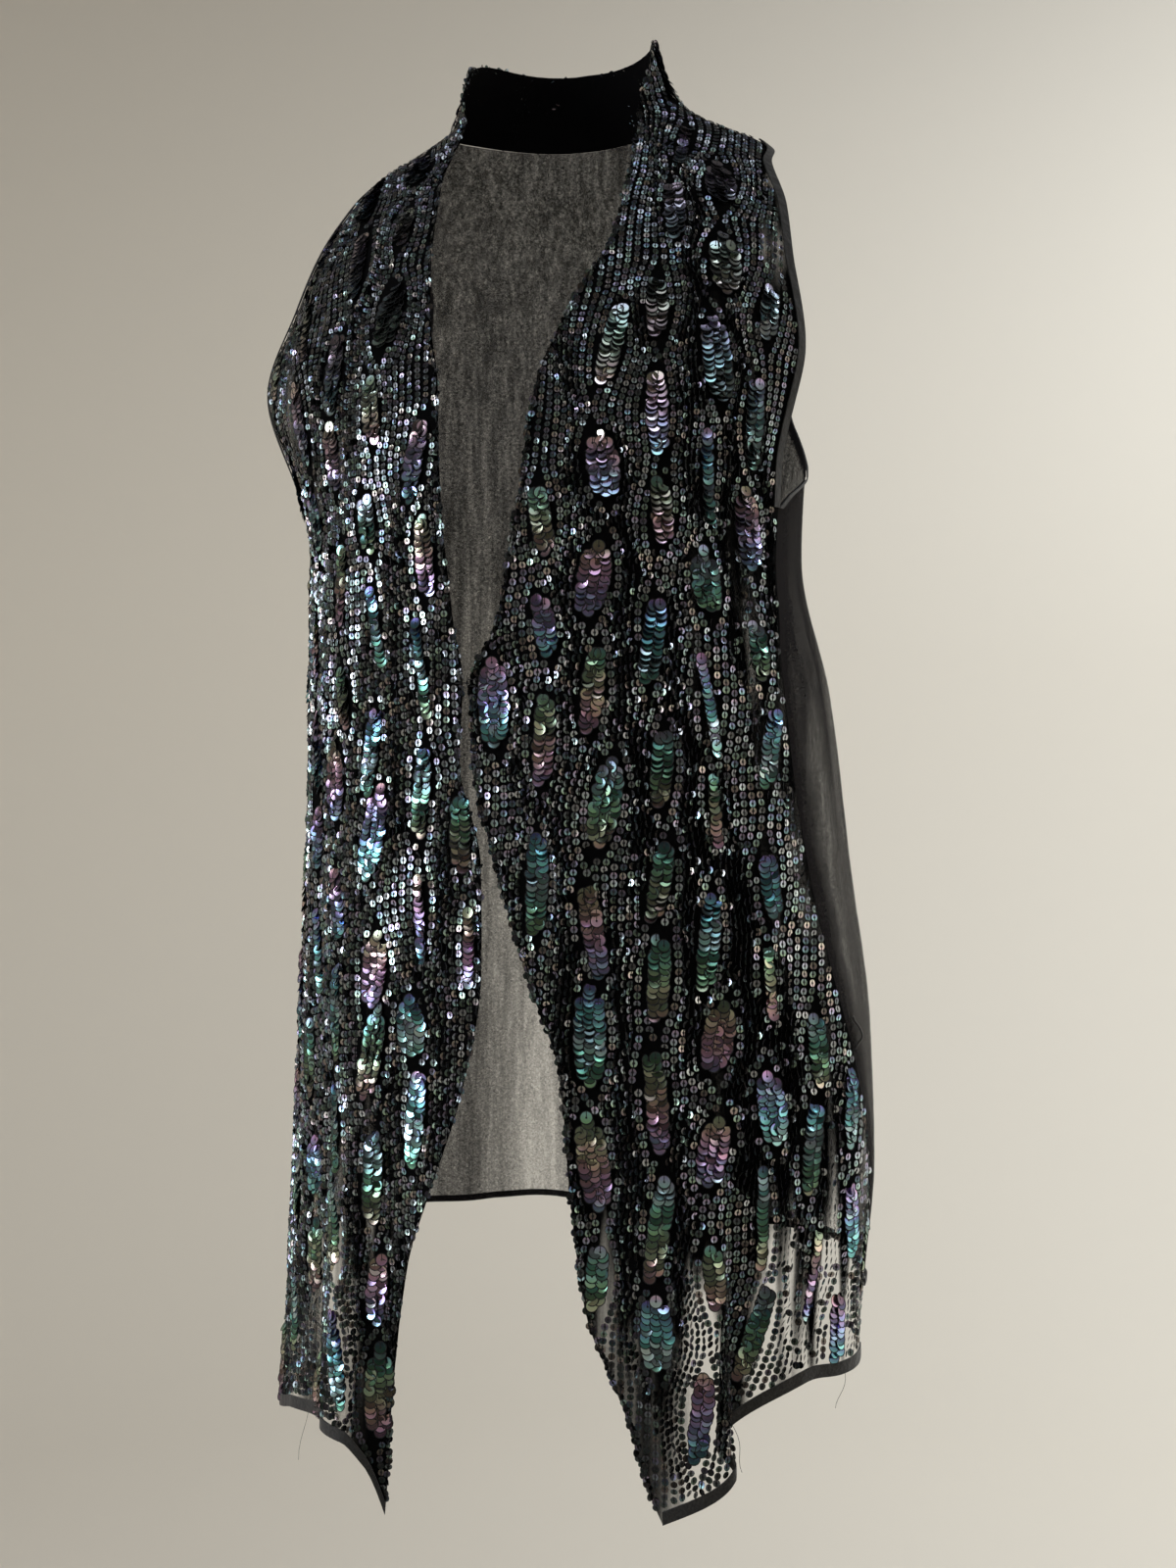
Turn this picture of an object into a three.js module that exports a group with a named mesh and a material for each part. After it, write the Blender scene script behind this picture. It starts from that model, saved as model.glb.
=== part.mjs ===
import * as THREE from "three";

// A worn waistcoat, open at the neck, armholes and hem, held up by the wearer's neck and shoulders.
// Millimetres, +Z up, +X the wearer's left, -Y the front.
// The origin is the centre of the neck opening, level with the place where the neck meets the shoulders.

const clothThickness = 1.2;
const seamGap = 0.3;
const edgingThickness = 0.8;
const hemBandWidth = 7;
const armholeBindingWidth = 5.5;
const backEdgeWidth = 4;
const frontColumns = 24;
const wireRadius = 0.35;
const wireSides = 6;
const wireSteps = 24;
const loopSteps = 14;
const normalStep = 0.05;
const loopStrap = { width: 2.4, thickness: 0.8 };

// The general figure as level rings. Each has its half width to the left and right, its half depth
// to the front and back, and how square its corners are (2 is an ellipse).
const rings = [
  { z: -830, left: 182, right: 172, front: 130, back: 130, square: 2.2 },
  { z: -700, left: 180, right: 166, front: 127, back: 128, square: 2.2 },
  { z: -620, left: 186, right: 163, front: 124, back: 125, square: 2.2 },
  { z: -540, left: 183, right: 162, front: 120, back: 120, square: 2.2 },
  { z: -450, left: 171, right: 159, front: 116, back: 112, square: 2.2 },
  { z: -350, left: 159, right: 156, front: 114, back: 106, square: 2.2 },
  { z: -270, left: 143, right: 155, front: 116, back: 104, square: 2.2 },
  { z: -225, left: 145, right: 165, front: 113, back: 104, square: 2.2 },
  { z: -160, left: 162, right: 189, front: 101, back: 102, square: 2.2 },
  { z: -110, left: 160, right: 173, front: 88, back: 96, square: 2.1 },
  { z: -75, left: 153, right: 160, front: 74, back: 88, square: 2 },
  { z: -45, left: 139, right: 142, front: 58, back: 74, square: 1.8 },
  { z: -25, left: 122, right: 122, front: 46, back: 60, square: 1.65 },
  { z: -14, left: 100, right: 100, front: 42, back: 56, square: 1.6 },
  { z: -2, left: 79, right: 75, front: 42, back: 56, square: 1.7 },
  { z: 12, left: 68, right: 66, front: 44, back: 57, square: 1.9 },
  { z: 26, left: 61, right: 61, front: 47, back: 58, square: 2 },
  { z: 45, left: 55, right: 57, front: 49, back: 59, square: 2 },
  { z: 70, left: 52, right: 55, front: 50, back: 60, square: 2 },
];

// Folds that run down the cloth, largest at the hem. A fold is centred at an angle round the body,
// reaches half its width to each side, and dies out at its top. A negative depth is a valley.
// A lean pushes the crest sideways, so that a deep fold lies over its neighbour.
const folds = [
  { at: 42.5, halfWidth: 10, depth: 11, lean: 1.15, top: -560, hem: -760 },
  { at: 55, halfWidth: 10, depth: -11, lean: 1.15, top: -560, hem: -760 },
  { at: 25, halfWidth: 10, depth: -6, lean: 0, top: -430, hem: -760 },
  { at: 76, halfWidth: 9, depth: 5, lean: 0, top: -420, hem: -720 },
  { at: -31, halfWidth: 9, depth: -16, lean: 0, top: -560, hem: -780 },
  { at: -43, halfWidth: 9, depth: 5, lean: 0, top: -480, hem: -760 },
  { at: -56, halfWidth: 10, depth: -6, lean: 0, top: -400, hem: -760 },
  { at: -76, halfWidth: 10, depth: 5, lean: 0, top: -420, hem: -760 },
  { at: 100, halfWidth: 9, depth: -5, lean: 0, top: -330, hem: -690 },
  { at: 118, halfWidth: 10, depth: 5, lean: 0, top: -300, hem: -690 },
  { at: 138, halfWidth: 11, depth: -6, lean: 0, top: -260, hem: -690 },
  { at: 160, halfWidth: 12, depth: 7, lean: 0, top: -240, hem: -690 },
  { at: -178, halfWidth: 11, depth: -6, lean: 0, top: -200, hem: -690 },
  { at: -157, halfWidth: 12, depth: 6, lean: 0, top: -260, hem: -690 },
  { at: -135, halfWidth: 11, depth: -6, lean: 0, top: -280, hem: -690 },
  { at: -114, halfWidth: 10, depth: 5, lean: 0, top: -320, hem: -690 },
];

// Each front as sections across it, from the hem to the centre back of the neck extension.
// The inner end follows the front edge, the neckline and the top of the extension. The outer end
// follows the side seam, the armhole, the shoulder seam and the foot of the extension.
const leftSections = [
  { innerAngle: 35.3, innerZ: -789, outerAngle: 82.5, outerZ: -724 },
  { innerAngle: 29.8, innerZ: -735, outerAngle: 87.5, outerZ: -690 },
  { innerAngle: 20.8, innerZ: -680, outerAngle: 86.5, outerZ: -650 },
  { innerAngle: 17.3, innerZ: -620, outerAngle: 82.5, outerZ: -603 },
  { innerAngle: 14.8, innerZ: -558, outerAngle: 77.5, outerZ: -555 },
  { innerAngle: 6.6, innerZ: -507, outerAngle: 73.3, outerZ: -507 },
  { innerAngle: -3, innerZ: -445, outerAngle: 70.5, outerZ: -445 },
  { innerAngle: -9.5, innerZ: -390, outerAngle: 68.5, outerZ: -390 },
  { innerAngle: -10.4, innerZ: -347, outerAngle: 68, outerZ: -340 },
  { innerAngle: -3, innerZ: -316, outerAngle: 71, outerZ: -300 },
  { innerAngle: 3.2, innerZ: -250, outerAngle: 73, outerZ: -247 },
  { innerAngle: 7.3, innerZ: -188, outerAngle: 73.2, outerZ: -190 },
  { innerAngle: 17.2, innerZ: -142, outerAngle: 74.8, outerZ: -148 },
  { innerAngle: 31, innerZ: -102, outerAngle: 74.5, outerZ: -112 },
  { innerAngle: 39.5, innerZ: -68, outerAngle: 78, outerZ: -72 },
  { innerAngle: 49.5, innerZ: -37, outerAngle: 82, outerZ: -45 },
  { innerAngle: 58, innerZ: -18, outerAngle: 90, outerZ: -25 },
  { innerAngle: 66, innerZ: 8, outerAngle: 90, outerZ: -3 },
  { innerAngle: 84, innerZ: 40, outerAngle: 104, outerZ: 2 },
  { innerAngle: 120, innerZ: 53, outerAngle: 134, outerZ: 5 },
  { innerAngle: 180, innerZ: 57, outerAngle: 180, outerZ: 6 },
];
const rightSections = [
  { innerAngle: -34.2, innerZ: -809, outerAngle: -92, outerZ: -785 },
  { innerAngle: -33.2, innerZ: -755, outerAngle: -93, outerZ: -690 },
  { innerAngle: -30.6, innerZ: -705, outerAngle: -93, outerZ: -650 },
  { innerAngle: -19.5, innerZ: -628, outerAngle: -93, outerZ: -603 },
  { innerAngle: -10.5, innerZ: -565, outerAngle: -93, outerZ: -555 },
  { innerAngle: -6.3, innerZ: -507, outerAngle: -93, outerZ: -507 },
  { innerAngle: -7, innerZ: -445, outerAngle: -93, outerZ: -445 },
  { innerAngle: -13.5, innerZ: -390, outerAngle: -93, outerZ: -390 },
  { innerAngle: -12.7, innerZ: -347, outerAngle: -93, outerZ: -340 },
  { innerAngle: -15, innerZ: -316, outerAngle: -90, outerZ: -300 },
  { innerAngle: -18.6, innerZ: -250, outerAngle: -82, outerZ: -243 },
  { innerAngle: -22.6, innerZ: -183, outerAngle: -78, outerZ: -190 },
  { innerAngle: -28.5, innerZ: -143, outerAngle: -79.5, outerZ: -150 },
  { innerAngle: -33.5, innerZ: -108, outerAngle: -79.5, outerZ: -112 },
  { innerAngle: -41, innerZ: -70, outerAngle: -80.5, outerZ: -76 },
  { innerAngle: -51, innerZ: -42, outerAngle: -83, outerZ: -48 },
  { innerAngle: -60, innerZ: -18, outerAngle: -90, outerZ: -26 },
  { innerAngle: -68, innerZ: 9, outerAngle: -90, outerZ: -3 },
  { innerAngle: -84, innerZ: 38, outerAngle: -104, outerZ: 2 },
  { innerAngle: -120, innerZ: 53, outerAngle: -134, outerZ: 5 },
  { innerAngle: -180, innerZ: 57, outerAngle: -180, outerZ: 6 },
];
const backHemSection = 1;
const hemRiseSections = 3;
const closureSection = 8;
const underarmSection = 10;
const shoulderTipSection = 16;
const neckPointSection = 17;
const centreBackSection = 20;

// How many rows of the cloth's grid lie between one section and the next.
const rowsAfterSection = [2, 2, 2, 2, 2, 2, 2, 2, 2, 2, 2, 2, 2, 2, 2, 2, 3, 3, 4, 5];

// How far each front's hem rises above a straight line from its tip to its side corner.
const leftHem = [
  { across: 0, rise: 0 },
  { across: 0.3, rise: 12 },
  { across: 0.6, rise: 24 },
  { across: 0.8, rise: 12 },
  { across: 1, rise: 0 },
];
const rightHem = [
  { across: 0, rise: 0 },
  { across: 0.05, rise: 27 },
  { across: 0.1, rise: 38 },
  { across: 0.2, rise: 37 },
  { across: 0.5, rise: 26 },
  { across: 0.7, rise: 11 },
  { across: 1, rise: 0 },
];

// The back's armholes from the underarm up to the shoulder tip.
const backArmholeLeft = [
  { angle: 73, z: -247 },
  { angle: 78, z: -238 },
  { angle: 86, z: -229 },
  { angle: 96, z: -219 },
  { angle: 107, z: -202 },
  { angle: 117, z: -172 },
  { angle: 121, z: -135 },
  { angle: 121, z: -95 },
  { angle: 115, z: -60 },
  { angle: 103, z: -37 },
  { angle: 90, z: -25 },
];
const backArmholeRight = [
  { angle: -82, z: -243 },
  { angle: -87, z: -236 },
  { angle: -94, z: -227 },
  { angle: -102, z: -216 },
  { angle: -110, z: -200 },
  { angle: -118, z: -170 },
  { angle: -121, z: -135 },
  { angle: -121, z: -95 },
  { angle: -115, z: -60 },
  { angle: -103, z: -37 },
  { angle: -90, z: -26 },
];

// The hook is sewn to the right front and goes round the bar of the eye, which is sewn to the left front.
// Distances are round the body from the middle of the closure, and out from the cloth's middle surface.
const closure = {
  wireOut: 1.35,
  barRound: 0.3,
  barOut: 0.25,
  hookStart: -6,
  hookEnd: -0.8,
  hookBendPoints: 6,
  eyeEnd: 6,
  eyeHalf: 1.8,
};

// A thread loop that stands off the left side seam, as points down it: round the body from its place,
// out from the cloth's middle surface, and up.
const sideLoopPlace = { angle: 77.3, z: -540 };
const sideLoop = [
  { round: 0.5, out: 1.35, up: 9 },
  { round: 0.7, out: 1.45, up: 7.2 },
  { round: 3, out: 3.35, up: 2.7 },
  { round: 4, out: 4.15, up: -2.7 },
  { round: 1.2, out: 1.55, up: -7.65 },
  { round: 0.8, out: 1.35, up: -9 },
];

const materials = {
  front: new THREE.MeshStandardMaterial({ color: 0x17191d, roughness: 0.35, metalness: 0.4 }),
  back: new THREE.MeshStandardMaterial({ color: 0x1c1b1d, roughness: 0.85, metalness: 0 }),
  edging: new THREE.MeshStandardMaterial({ color: 0x101012, roughness: 0.8, metalness: 0 }),
  thread: new THREE.MeshStandardMaterial({ color: 0x0c0c0e, roughness: 0.7, metalness: 0 }),
};

// A smooth value between a table's rows that never overshoots them.
function between(table, key, column, at) {
  const last = table.length - 1;
  const place = (i) => (key === null ? i : table[i][key]);
  let i = 0;
  while (i < last - 1 && at > place(i + 1)) i += 1;
  const slope = (k) => (table[k + 1][column] - table[k][column]) / (place(k + 1) - place(k));
  const tangent = (k) => {
    if (k === 0) return slope(0);
    if (k === last) return slope(last - 1);
    const before = slope(k - 1);
    const after = slope(k);
    return before * after <= 0 ? 0 : (2 * before * after) / (before + after);
  };
  const length = place(i + 1) - place(i);
  const t = THREE.MathUtils.clamp((at - place(i)) / length, 0, 1);
  const start = table[i][column];
  const end = table[i + 1][column];
  const bend = t * t * (3 - 2 * t);
  const leave = t * (1 - t) * (1 - t) * length * tangent(i);
  const arrive = t * t * (t - 1) * length * tangent(i + 1);
  return start + (end - start) * bend + leave + arrive;
}

function wrapped(angle) {
  return angle - 360 * Math.round(angle / 360);
}

function ringRadius(angle, z) {
  const turn = THREE.MathUtils.degToRad(angle);
  const side = Math.sin(turn);
  const ahead = Math.cos(turn);
  const halfWidth = between(rings, "z", side > 0 ? "left" : "right", z);
  const halfDepth = between(rings, "z", ahead > 0 ? "front" : "back", z);
  const square = between(rings, "z", "square", z);
  const sum = (Math.abs(side) / halfWidth) ** square + (Math.abs(ahead) / halfDepth) ** square;
  return sum ** (-1 / square);
}

// A point of the worn cloth's middle surface.
function clothPoint({ angle, z }) {
  let out = 0;
  let sideways = 0;
  for (const fold of folds) {
    const away = wrapped(angle - fold.at) / fold.halfWidth;
    if (Math.abs(away) >= 1 || z >= fold.top) continue;
    const grown = Math.min(1, (fold.top - z) / (fold.top - fold.hem));
    const push = fold.depth * grown * (1 - away * away) ** 2;
    out += push;
    sideways += push * fold.lean;
  }
  const radius = ringRadius(angle, z) + out;
  const turn = THREE.MathUtils.degToRad(angle) + sideways / radius;
  return new THREE.Vector3(radius * Math.sin(turn), -radius * Math.cos(turn), z);
}

function clothNormal({ angle, z }) {
  const near = (turn, rise) => clothPoint({ angle: angle + turn, z: z + rise });
  const round = near(normalStep, 0).sub(near(-normalStep, 0));
  const up = near(0, normalStep).sub(near(0, -normalStep));
  return round.cross(up).normalize();
}

// A seam's edge is drawn back by half the gap, measured round the body.
function drawnBack(angle, z, direction) {
  const gapAngle = THREE.MathUtils.radToDeg(seamGap / 2 / ringRadius(angle, z));
  return angle + direction * gapAngle;
}

// Where the grid's rows lie, counted in sections, between two of the sections.
function rowPlaces(first, last) {
  const places = [];
  for (let section = first; section < last; section += 1) {
    const rows = rowsAfterSection[section];
    for (let i = 0; i < rows; i += 1) places.push(section + i / rows);
  }
  places.push(last);
  return places;
}

// The outer end of a front's section. The front and the back meet along it, half a gap to each side.
function seamPlace(sections, along, away) {
  const angle = between(sections, null, "outerAngle", along);
  const z = between(sections, null, "outerZ", along);
  if (along > neckPointSection) return { angle, z: z - (away * seamGap) / 2 };
  return { angle: drawnBack(angle, z, away * Math.sign(angle)), z };
}

// A front's place in angle and height: across runs from the inner end to the outer, along counts sections.
function frontPlace(sections, hem, across, along) {
  const outer = seamPlace(sections, along, -1);
  const innerZ = between(sections, null, "innerZ", along);
  let innerAngle = between(sections, null, "innerAngle", along);
  if (along === centreBackSection) {
    innerAngle = drawnBack(innerAngle, innerZ, -Math.sign(innerAngle));
    outer.angle = drawnBack(outer.angle, outer.z, -Math.sign(outer.angle));
  }
  const fade = Math.max(0, 1 - along / hemRiseSections) ** 2;
  return {
    angle: THREE.MathUtils.lerp(innerAngle, outer.angle, across),
    z: THREE.MathUtils.lerp(innerZ, outer.z, across) + fade * between(hem, "across", "rise", across),
  };
}

// The grid's columns are even, apart from the last, which is as wide as the armhole's binding.
function frontAcross(sections, hem, along) {
  const inner = clothPoint(frontPlace(sections, hem, 0, along));
  const outer = clothPoint(frontPlace(sections, hem, 1, along));
  const share = armholeBindingWidth / inner.distanceTo(outer);
  const places = [];
  for (let column = 0; column < frontColumns; column += 1) {
    places.push(((1 - share) * column) / (frontColumns - 1));
  }
  return [...places, 1];
}

function frontGrid(sections, hem) {
  return rowPlaces(0, centreBackSection).map((along) =>
    frontAcross(sections, hem, along).map((across) => frontPlace(sections, hem, across, along)),
  );
}

// The back's angles run on past 180 degrees, so that they never jump.
function unwound(place) {
  return { angle: place.angle < 0 ? place.angle + 360 : place.angle, z: place.z };
}

// The back's side edge shares the front's side seam up to the underarm, then follows its own armhole.
function backSide(sections, armhole) {
  const seam = rowPlaces(backHemSection, underarmSection).map((along) => seamPlace(sections, along, 1));
  const open = armhole.slice(1).map(({ angle, z }) => ({ angle: drawnBack(angle, z, Math.sign(angle)), z }));
  return [...seam, ...open].map(unwound);
}

// The back's top edge runs up one shoulder seam, round the foot of the neck extension and down the other.
function backTop() {
  const places = rowPlaces(shoulderTipSection, centreBackSection);
  const left = places.map((along) => seamPlace(leftSections, along, 1));
  const right = places.map((along) => seamPlace(rightSections, along, 1)).reverse();
  return [...left, ...right.slice(1)].map(unwound);
}

// The back's grid runs straight from side to side up to the underarm, and from there on it is blended
// into its top edge.
function backGrid() {
  const left = backSide(leftSections, backArmholeLeft);
  const right = backSide(rightSections, backArmholeRight);
  const top = backTop();
  const lastRow = left.length - 1;
  const lastColumn = top.length - 1;
  const underarm = lastRow - (backArmholeLeft.length - 1);
  const blend = (row, column, key) => {
    const s = column / lastColumn;
    const t = Math.max(0, (row - underarm) / (lastRow - underarm)) ** 2;
    const mix = THREE.MathUtils.lerp;
    const hem = mix(left[0][key], right[0][key], s);
    const sides = mix(left[row][key], right[row][key], s);
    const ends = mix(hem, top[column][key], t);
    const corners = mix(hem, mix(left[lastRow][key], right[lastRow][key], s), t);
    return sides + ends - corners;
  };
  return left.map((_, row) =>
    top.map((_, column) => ({ angle: blend(row, column, "angle"), z: blend(row, column, "z") })),
  );
}

// The middle surface of a grid of places: a point and an outward normal for each.
function surfaceOf(grid) {
  return grid.map((line) => line.map((place) => ({ point: clothPoint(place), normal: clothNormal(place) })));
}

// A closed wall over a surface, between two distances out from it along its normals.
function wall(name, surface, inner, outer, material) {
  const rows = surface.length;
  const columns = surface[0].length;
  const positions = [];
  for (const distance of [outer, inner]) {
    for (const line of surface) {
      for (const { point, normal } of line) {
        positions.push(...point.clone().addScaledVector(normal, distance).toArray());
      }
    }
  }
  const outerAt = (row, column) => row * columns + column;
  const innerAt = (row, column) => rows * columns + row * columns + column;
  const faces = [];
  const quad = (a, b, c, d) => faces.push([a, b, c], [a, c, d]);
  for (let row = 0; row < rows - 1; row += 1) {
    for (let column = 0; column < columns - 1; column += 1) {
      const next = column + 1;
      quad(outerAt(row, column), outerAt(row, next), outerAt(row + 1, next), outerAt(row + 1, column));
      quad(innerAt(row, column), innerAt(row + 1, column), innerAt(row + 1, next), innerAt(row, next));
    }
  }
  const border = [];
  for (let column = 0; column < columns - 1; column += 1) border.push([0, column]);
  for (let row = 0; row < rows - 1; row += 1) border.push([row, columns - 1]);
  for (let column = columns - 1; column > 0; column -= 1) border.push([rows - 1, column]);
  for (let row = rows - 1; row > 0; row -= 1) border.push([row, 0]);
  border.forEach((here, i) => {
    const there = border[(i + 1) % border.length];
    quad(outerAt(...here), innerAt(...here), innerAt(...there), outerAt(...there));
  });
  const geometry = new THREE.BufferGeometry();
  geometry.setAttribute("position", new THREE.Float32BufferAttribute(positions, 3));
  geometry.setIndex(facingOut(positions, faces).flat());
  geometry.computeVertexNormals();
  return named(name, geometry, material);
}

// Turns every face round if the closed body they make would be inside out.
function facingOut(positions, faces) {
  const corner = (i) => new THREE.Vector3().fromArray(positions, 3 * i);
  let volume = 0;
  for (const [a, b, c] of faces) volume += corner(a).dot(corner(b).cross(corner(c)));
  return volume > 0 ? faces : faces.map(([a, b, c]) => [a, c, b]);
}

function named(name, geometry, material) {
  const mesh = new THREE.Mesh(geometry, material);
  mesh.name = name;
  return mesh;
}

function edging(name, linesFromEdge) {
  const inner = clothThickness / 2 + seamGap;
  return wall(name, linesFromEdge, inner, inner + edgingThickness, materials.edging);
}

function panel(name, surface, material) {
  return wall(name, surface, -clothThickness / 2, clothThickness / 2, material);
}

// A point of the cloth at a width from its edge, on the way to the next point inwards.
function beside(edge, next, width) {
  const share = width / edge.point.distanceTo(next.point);
  return {
    point: edge.point.clone().lerp(next.point, share),
    normal: edge.normal.clone().lerp(next.normal, share).normalize(),
  };
}

// Puts a row beside a surface's hem, so that an edging of that width lies on whole faces.
function withHemRow(surface, width) {
  const [hem, next, ...above] = surface;
  return [hem, hem.map((edge, column) => beside(edge, next[column], width)), next, ...above];
}

function withSideColumns(surface, width) {
  return surface.map((line) => {
    const [first, second] = line;
    const [secondLast, last] = line.slice(-2);
    const middle = line.slice(1, -1);
    return [first, beside(first, second, width), ...middle, beside(last, secondLast, width), last];
  });
}

function hemLines(surface) {
  return surface[0].map((edge, column) => [edge, surface[1][column]]);
}

// The lines that start at one side edge of a panel. They run down the last column, so that a strip's
// faces are split along the same diagonals as the panel's.
function sideLines(surface, column, inward, firstRow, lastRow) {
  const lines = surface.slice(firstRow, lastRow + 1).map((line) => [line[column], line[column + inward]]);
  return inward < 0 ? lines.reverse() : lines;
}

// A frame that lies on the cloth: round the body, out from the cloth, and up it.
function clothFrame(place) {
  const out = clothNormal(place);
  const up = new THREE.Vector3(0, 0, 1);
  const round = up.clone().cross(out).normalize();
  const origin = clothPoint(place);
  return (aroundBy, outBy, upBy) =>
    origin
      .clone()
      .addScaledVector(round, aroundBy)
      .addScaledVector(out, outBy)
      .addScaledVector(out.clone().cross(round), upBy);
}

function circle(radius, sides) {
  const shape = new THREE.Shape();
  for (let i = 0; i < sides; i += 1) {
    const turn = (2 * Math.PI * i) / sides;
    shape[i ? "lineTo" : "moveTo"](radius * Math.cos(turn), radius * Math.sin(turn));
  }
  return shape;
}

function rectangle(width, height) {
  const shape = new THREE.Shape();
  shape.moveTo(-width / 2, -height / 2).lineTo(width / 2, -height / 2);
  return shape.lineTo(width / 2, height / 2).lineTo(-width / 2, height / 2);
}

function along(name, shape, points, steps, material) {
  const extrudePath = new THREE.CatmullRomCurve3(points, false, "centripetal");
  return named(name, new THREE.ExtrudeGeometry(shape, { steps, extrudePath }), material);
}

function closureHook(at) {
  const bend = closure.wireOut - closure.barOut;
  const points = [at(closure.hookStart, closure.wireOut, 0), at(closure.hookStart / 2, closure.wireOut, 0)];
  for (let i = 0; i <= closure.hookBendPoints; i += 1) {
    const turn = (Math.PI * i) / closure.hookBendPoints;
    points.push(at(closure.barRound + bend * Math.sin(turn), closure.barOut + bend * Math.cos(turn), 0));
  }
  points.push(at(closure.hookEnd, closure.barOut - bend, 0));
  return along("closure_hook", circle(wireRadius, wireSides), points, wireSteps, materials.thread);
}

function closureEye(at) {
  const { eyeEnd, eyeHalf, wireOut, barRound, barOut } = closure;
  const leg = (side) => [
    at(eyeEnd, wireOut, side * eyeHalf),
    at(eyeEnd / 2, wireOut, side * eyeHalf),
    at(barRound + eyeHalf / 2, barOut + wireRadius, side * eyeHalf),
    at(barRound, barOut, (side * eyeHalf) / 2),
  ];
  const points = [...leg(-1), ...leg(1).reverse()];
  return along("closure_eye", circle(wireRadius, wireSides), points, wireSteps, materials.thread);
}

function sideThreadLoop(at) {
  const points = sideLoop.map(({ round, out, up }) => at(round, out, up));
  const strap = rectangle(loopStrap.width, loopStrap.thickness);
  return along("side_loop_left", strap, points, loopSteps, materials.thread);
}

const waistcoat = new THREE.Group();
const leftSurface = withHemRow(surfaceOf(frontGrid(leftSections, leftHem)), hemBandWidth);
const rightSurface = withHemRow(surfaceOf(frontGrid(rightSections, rightHem)), hemBandWidth);
const backSurface = withSideColumns(withHemRow(surfaceOf(backGrid()), backEdgeWidth), backEdgeWidth);
const bandRows = 1;
const underarmRow = rowPlaces(0, underarmSection).length - 1 + bandRows;
const shoulderTipRow = rowPlaces(0, shoulderTipSection).length - 1 + bandRows;
const backUnderarmRow = rowPlaces(backHemSection, underarmSection).length - 1 + bandRows;
const backLastRow = backSurface.length - 1;
const backLastColumn = backSurface[0].length - 1;

waistcoat.add(panel("front_left", leftSurface, materials.front));
waistcoat.add(panel("front_right", rightSurface, materials.front));
waistcoat.add(panel("back", backSurface, materials.back));
waistcoat.add(edging("hem_band_left", hemLines(leftSurface)));
waistcoat.add(edging("hem_band_right", hemLines(rightSurface)));
waistcoat.add(edging("back_hem_edge", hemLines(backSurface)));
for (const [side, surface] of [["left", leftSurface], ["right", rightSurface]]) {
  const lines = sideLines(surface, frontColumns, -1, underarmRow, shoulderTipRow);
  waistcoat.add(edging(`armhole_binding_${side}`, lines));
}
for (const [side, column, inward] of [["left", 0, 1], ["right", backLastColumn, -1]]) {
  const lines = sideLines(backSurface, column, inward, backUnderarmRow, backLastRow);
  waistcoat.add(edging(`back_armhole_edge_${side}`, lines));
}
const leftEdge = leftSections[closureSection];
const rightEdge = rightSections[closureSection];
const closureMiddle = (leftEdge.innerAngle + rightEdge.innerAngle) / 2;
const atClosure = clothFrame({ angle: closureMiddle, z: leftEdge.innerZ });
waistcoat.add(closureHook(atClosure));
waistcoat.add(closureEye(atClosure));
waistcoat.add(sideThreadLoop(clothFrame(sideLoopPlace)));

export default waistcoat;
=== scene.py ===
"""A long waistcoat of sheer black cloth sewn all over with sequins, worn and hollow."""

import math

import bpy
import numpy as np
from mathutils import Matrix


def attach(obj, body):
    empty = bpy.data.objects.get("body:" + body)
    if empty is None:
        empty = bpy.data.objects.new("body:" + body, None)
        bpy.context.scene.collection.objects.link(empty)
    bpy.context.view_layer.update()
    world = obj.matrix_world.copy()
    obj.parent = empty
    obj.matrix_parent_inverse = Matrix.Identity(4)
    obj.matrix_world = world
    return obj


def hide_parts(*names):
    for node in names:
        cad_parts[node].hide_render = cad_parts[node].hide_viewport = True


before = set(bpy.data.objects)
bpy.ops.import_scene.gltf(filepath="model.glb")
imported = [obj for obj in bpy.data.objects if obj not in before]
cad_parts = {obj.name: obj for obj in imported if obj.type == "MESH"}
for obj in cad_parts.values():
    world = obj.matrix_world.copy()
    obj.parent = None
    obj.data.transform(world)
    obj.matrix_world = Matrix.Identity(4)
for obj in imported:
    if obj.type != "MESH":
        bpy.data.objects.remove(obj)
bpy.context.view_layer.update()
bpy.ops.object.select_all(action="DESELECT")


# The fronts' ground
#
# The two fronts are sheer black silk chiffon, each cut in one with its half of the stand that goes round
# to the centre back of the neck. The cloth hangs from the neck and shoulders and folds towards the hem.
MM = 0.001


def table(names, *rows):
    """A table's columns by name."""
    return {name: np.array(column, float) for name, column in zip(names.split(), zip(*rows))}


# Level rings of the general figure under the cloth, in millimetres from the foot of the neck: half width
# to the left and right, half depth to the front and back, and how square the corners are.
rings = table(
    "z left right front back square",
    (-830, 182, 172, 130, 130, 2.2),
    (-700, 180, 166, 127, 128, 2.2),
    (-620, 186, 163, 124, 125, 2.2),
    (-540, 183, 162, 120, 120, 2.2),
    (-450, 171, 159, 116, 112, 2.2),
    (-350, 159, 156, 114, 106, 2.2),
    (-270, 143, 155, 116, 104, 2.2),
    (-225, 145, 165, 113, 104, 2.2),
    (-160, 162, 189, 101, 102, 2.2),
    (-110, 160, 173, 88, 96, 2.1),
    (-75, 153, 160, 74, 88, 2),
    (-45, 139, 142, 58, 74, 1.8),
    (-25, 122, 122, 46, 60, 1.65),
    (-14, 100, 100, 42, 56, 1.6),
    (-2, 79, 75, 42, 56, 1.7),
    (12, 68, 66, 44, 57, 1.9),
    (26, 61, 61, 47, 58, 2),
    (45, 55, 57, 49, 59, 2),
    (70, 52, 55, 50, 60, 2),
)

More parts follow.
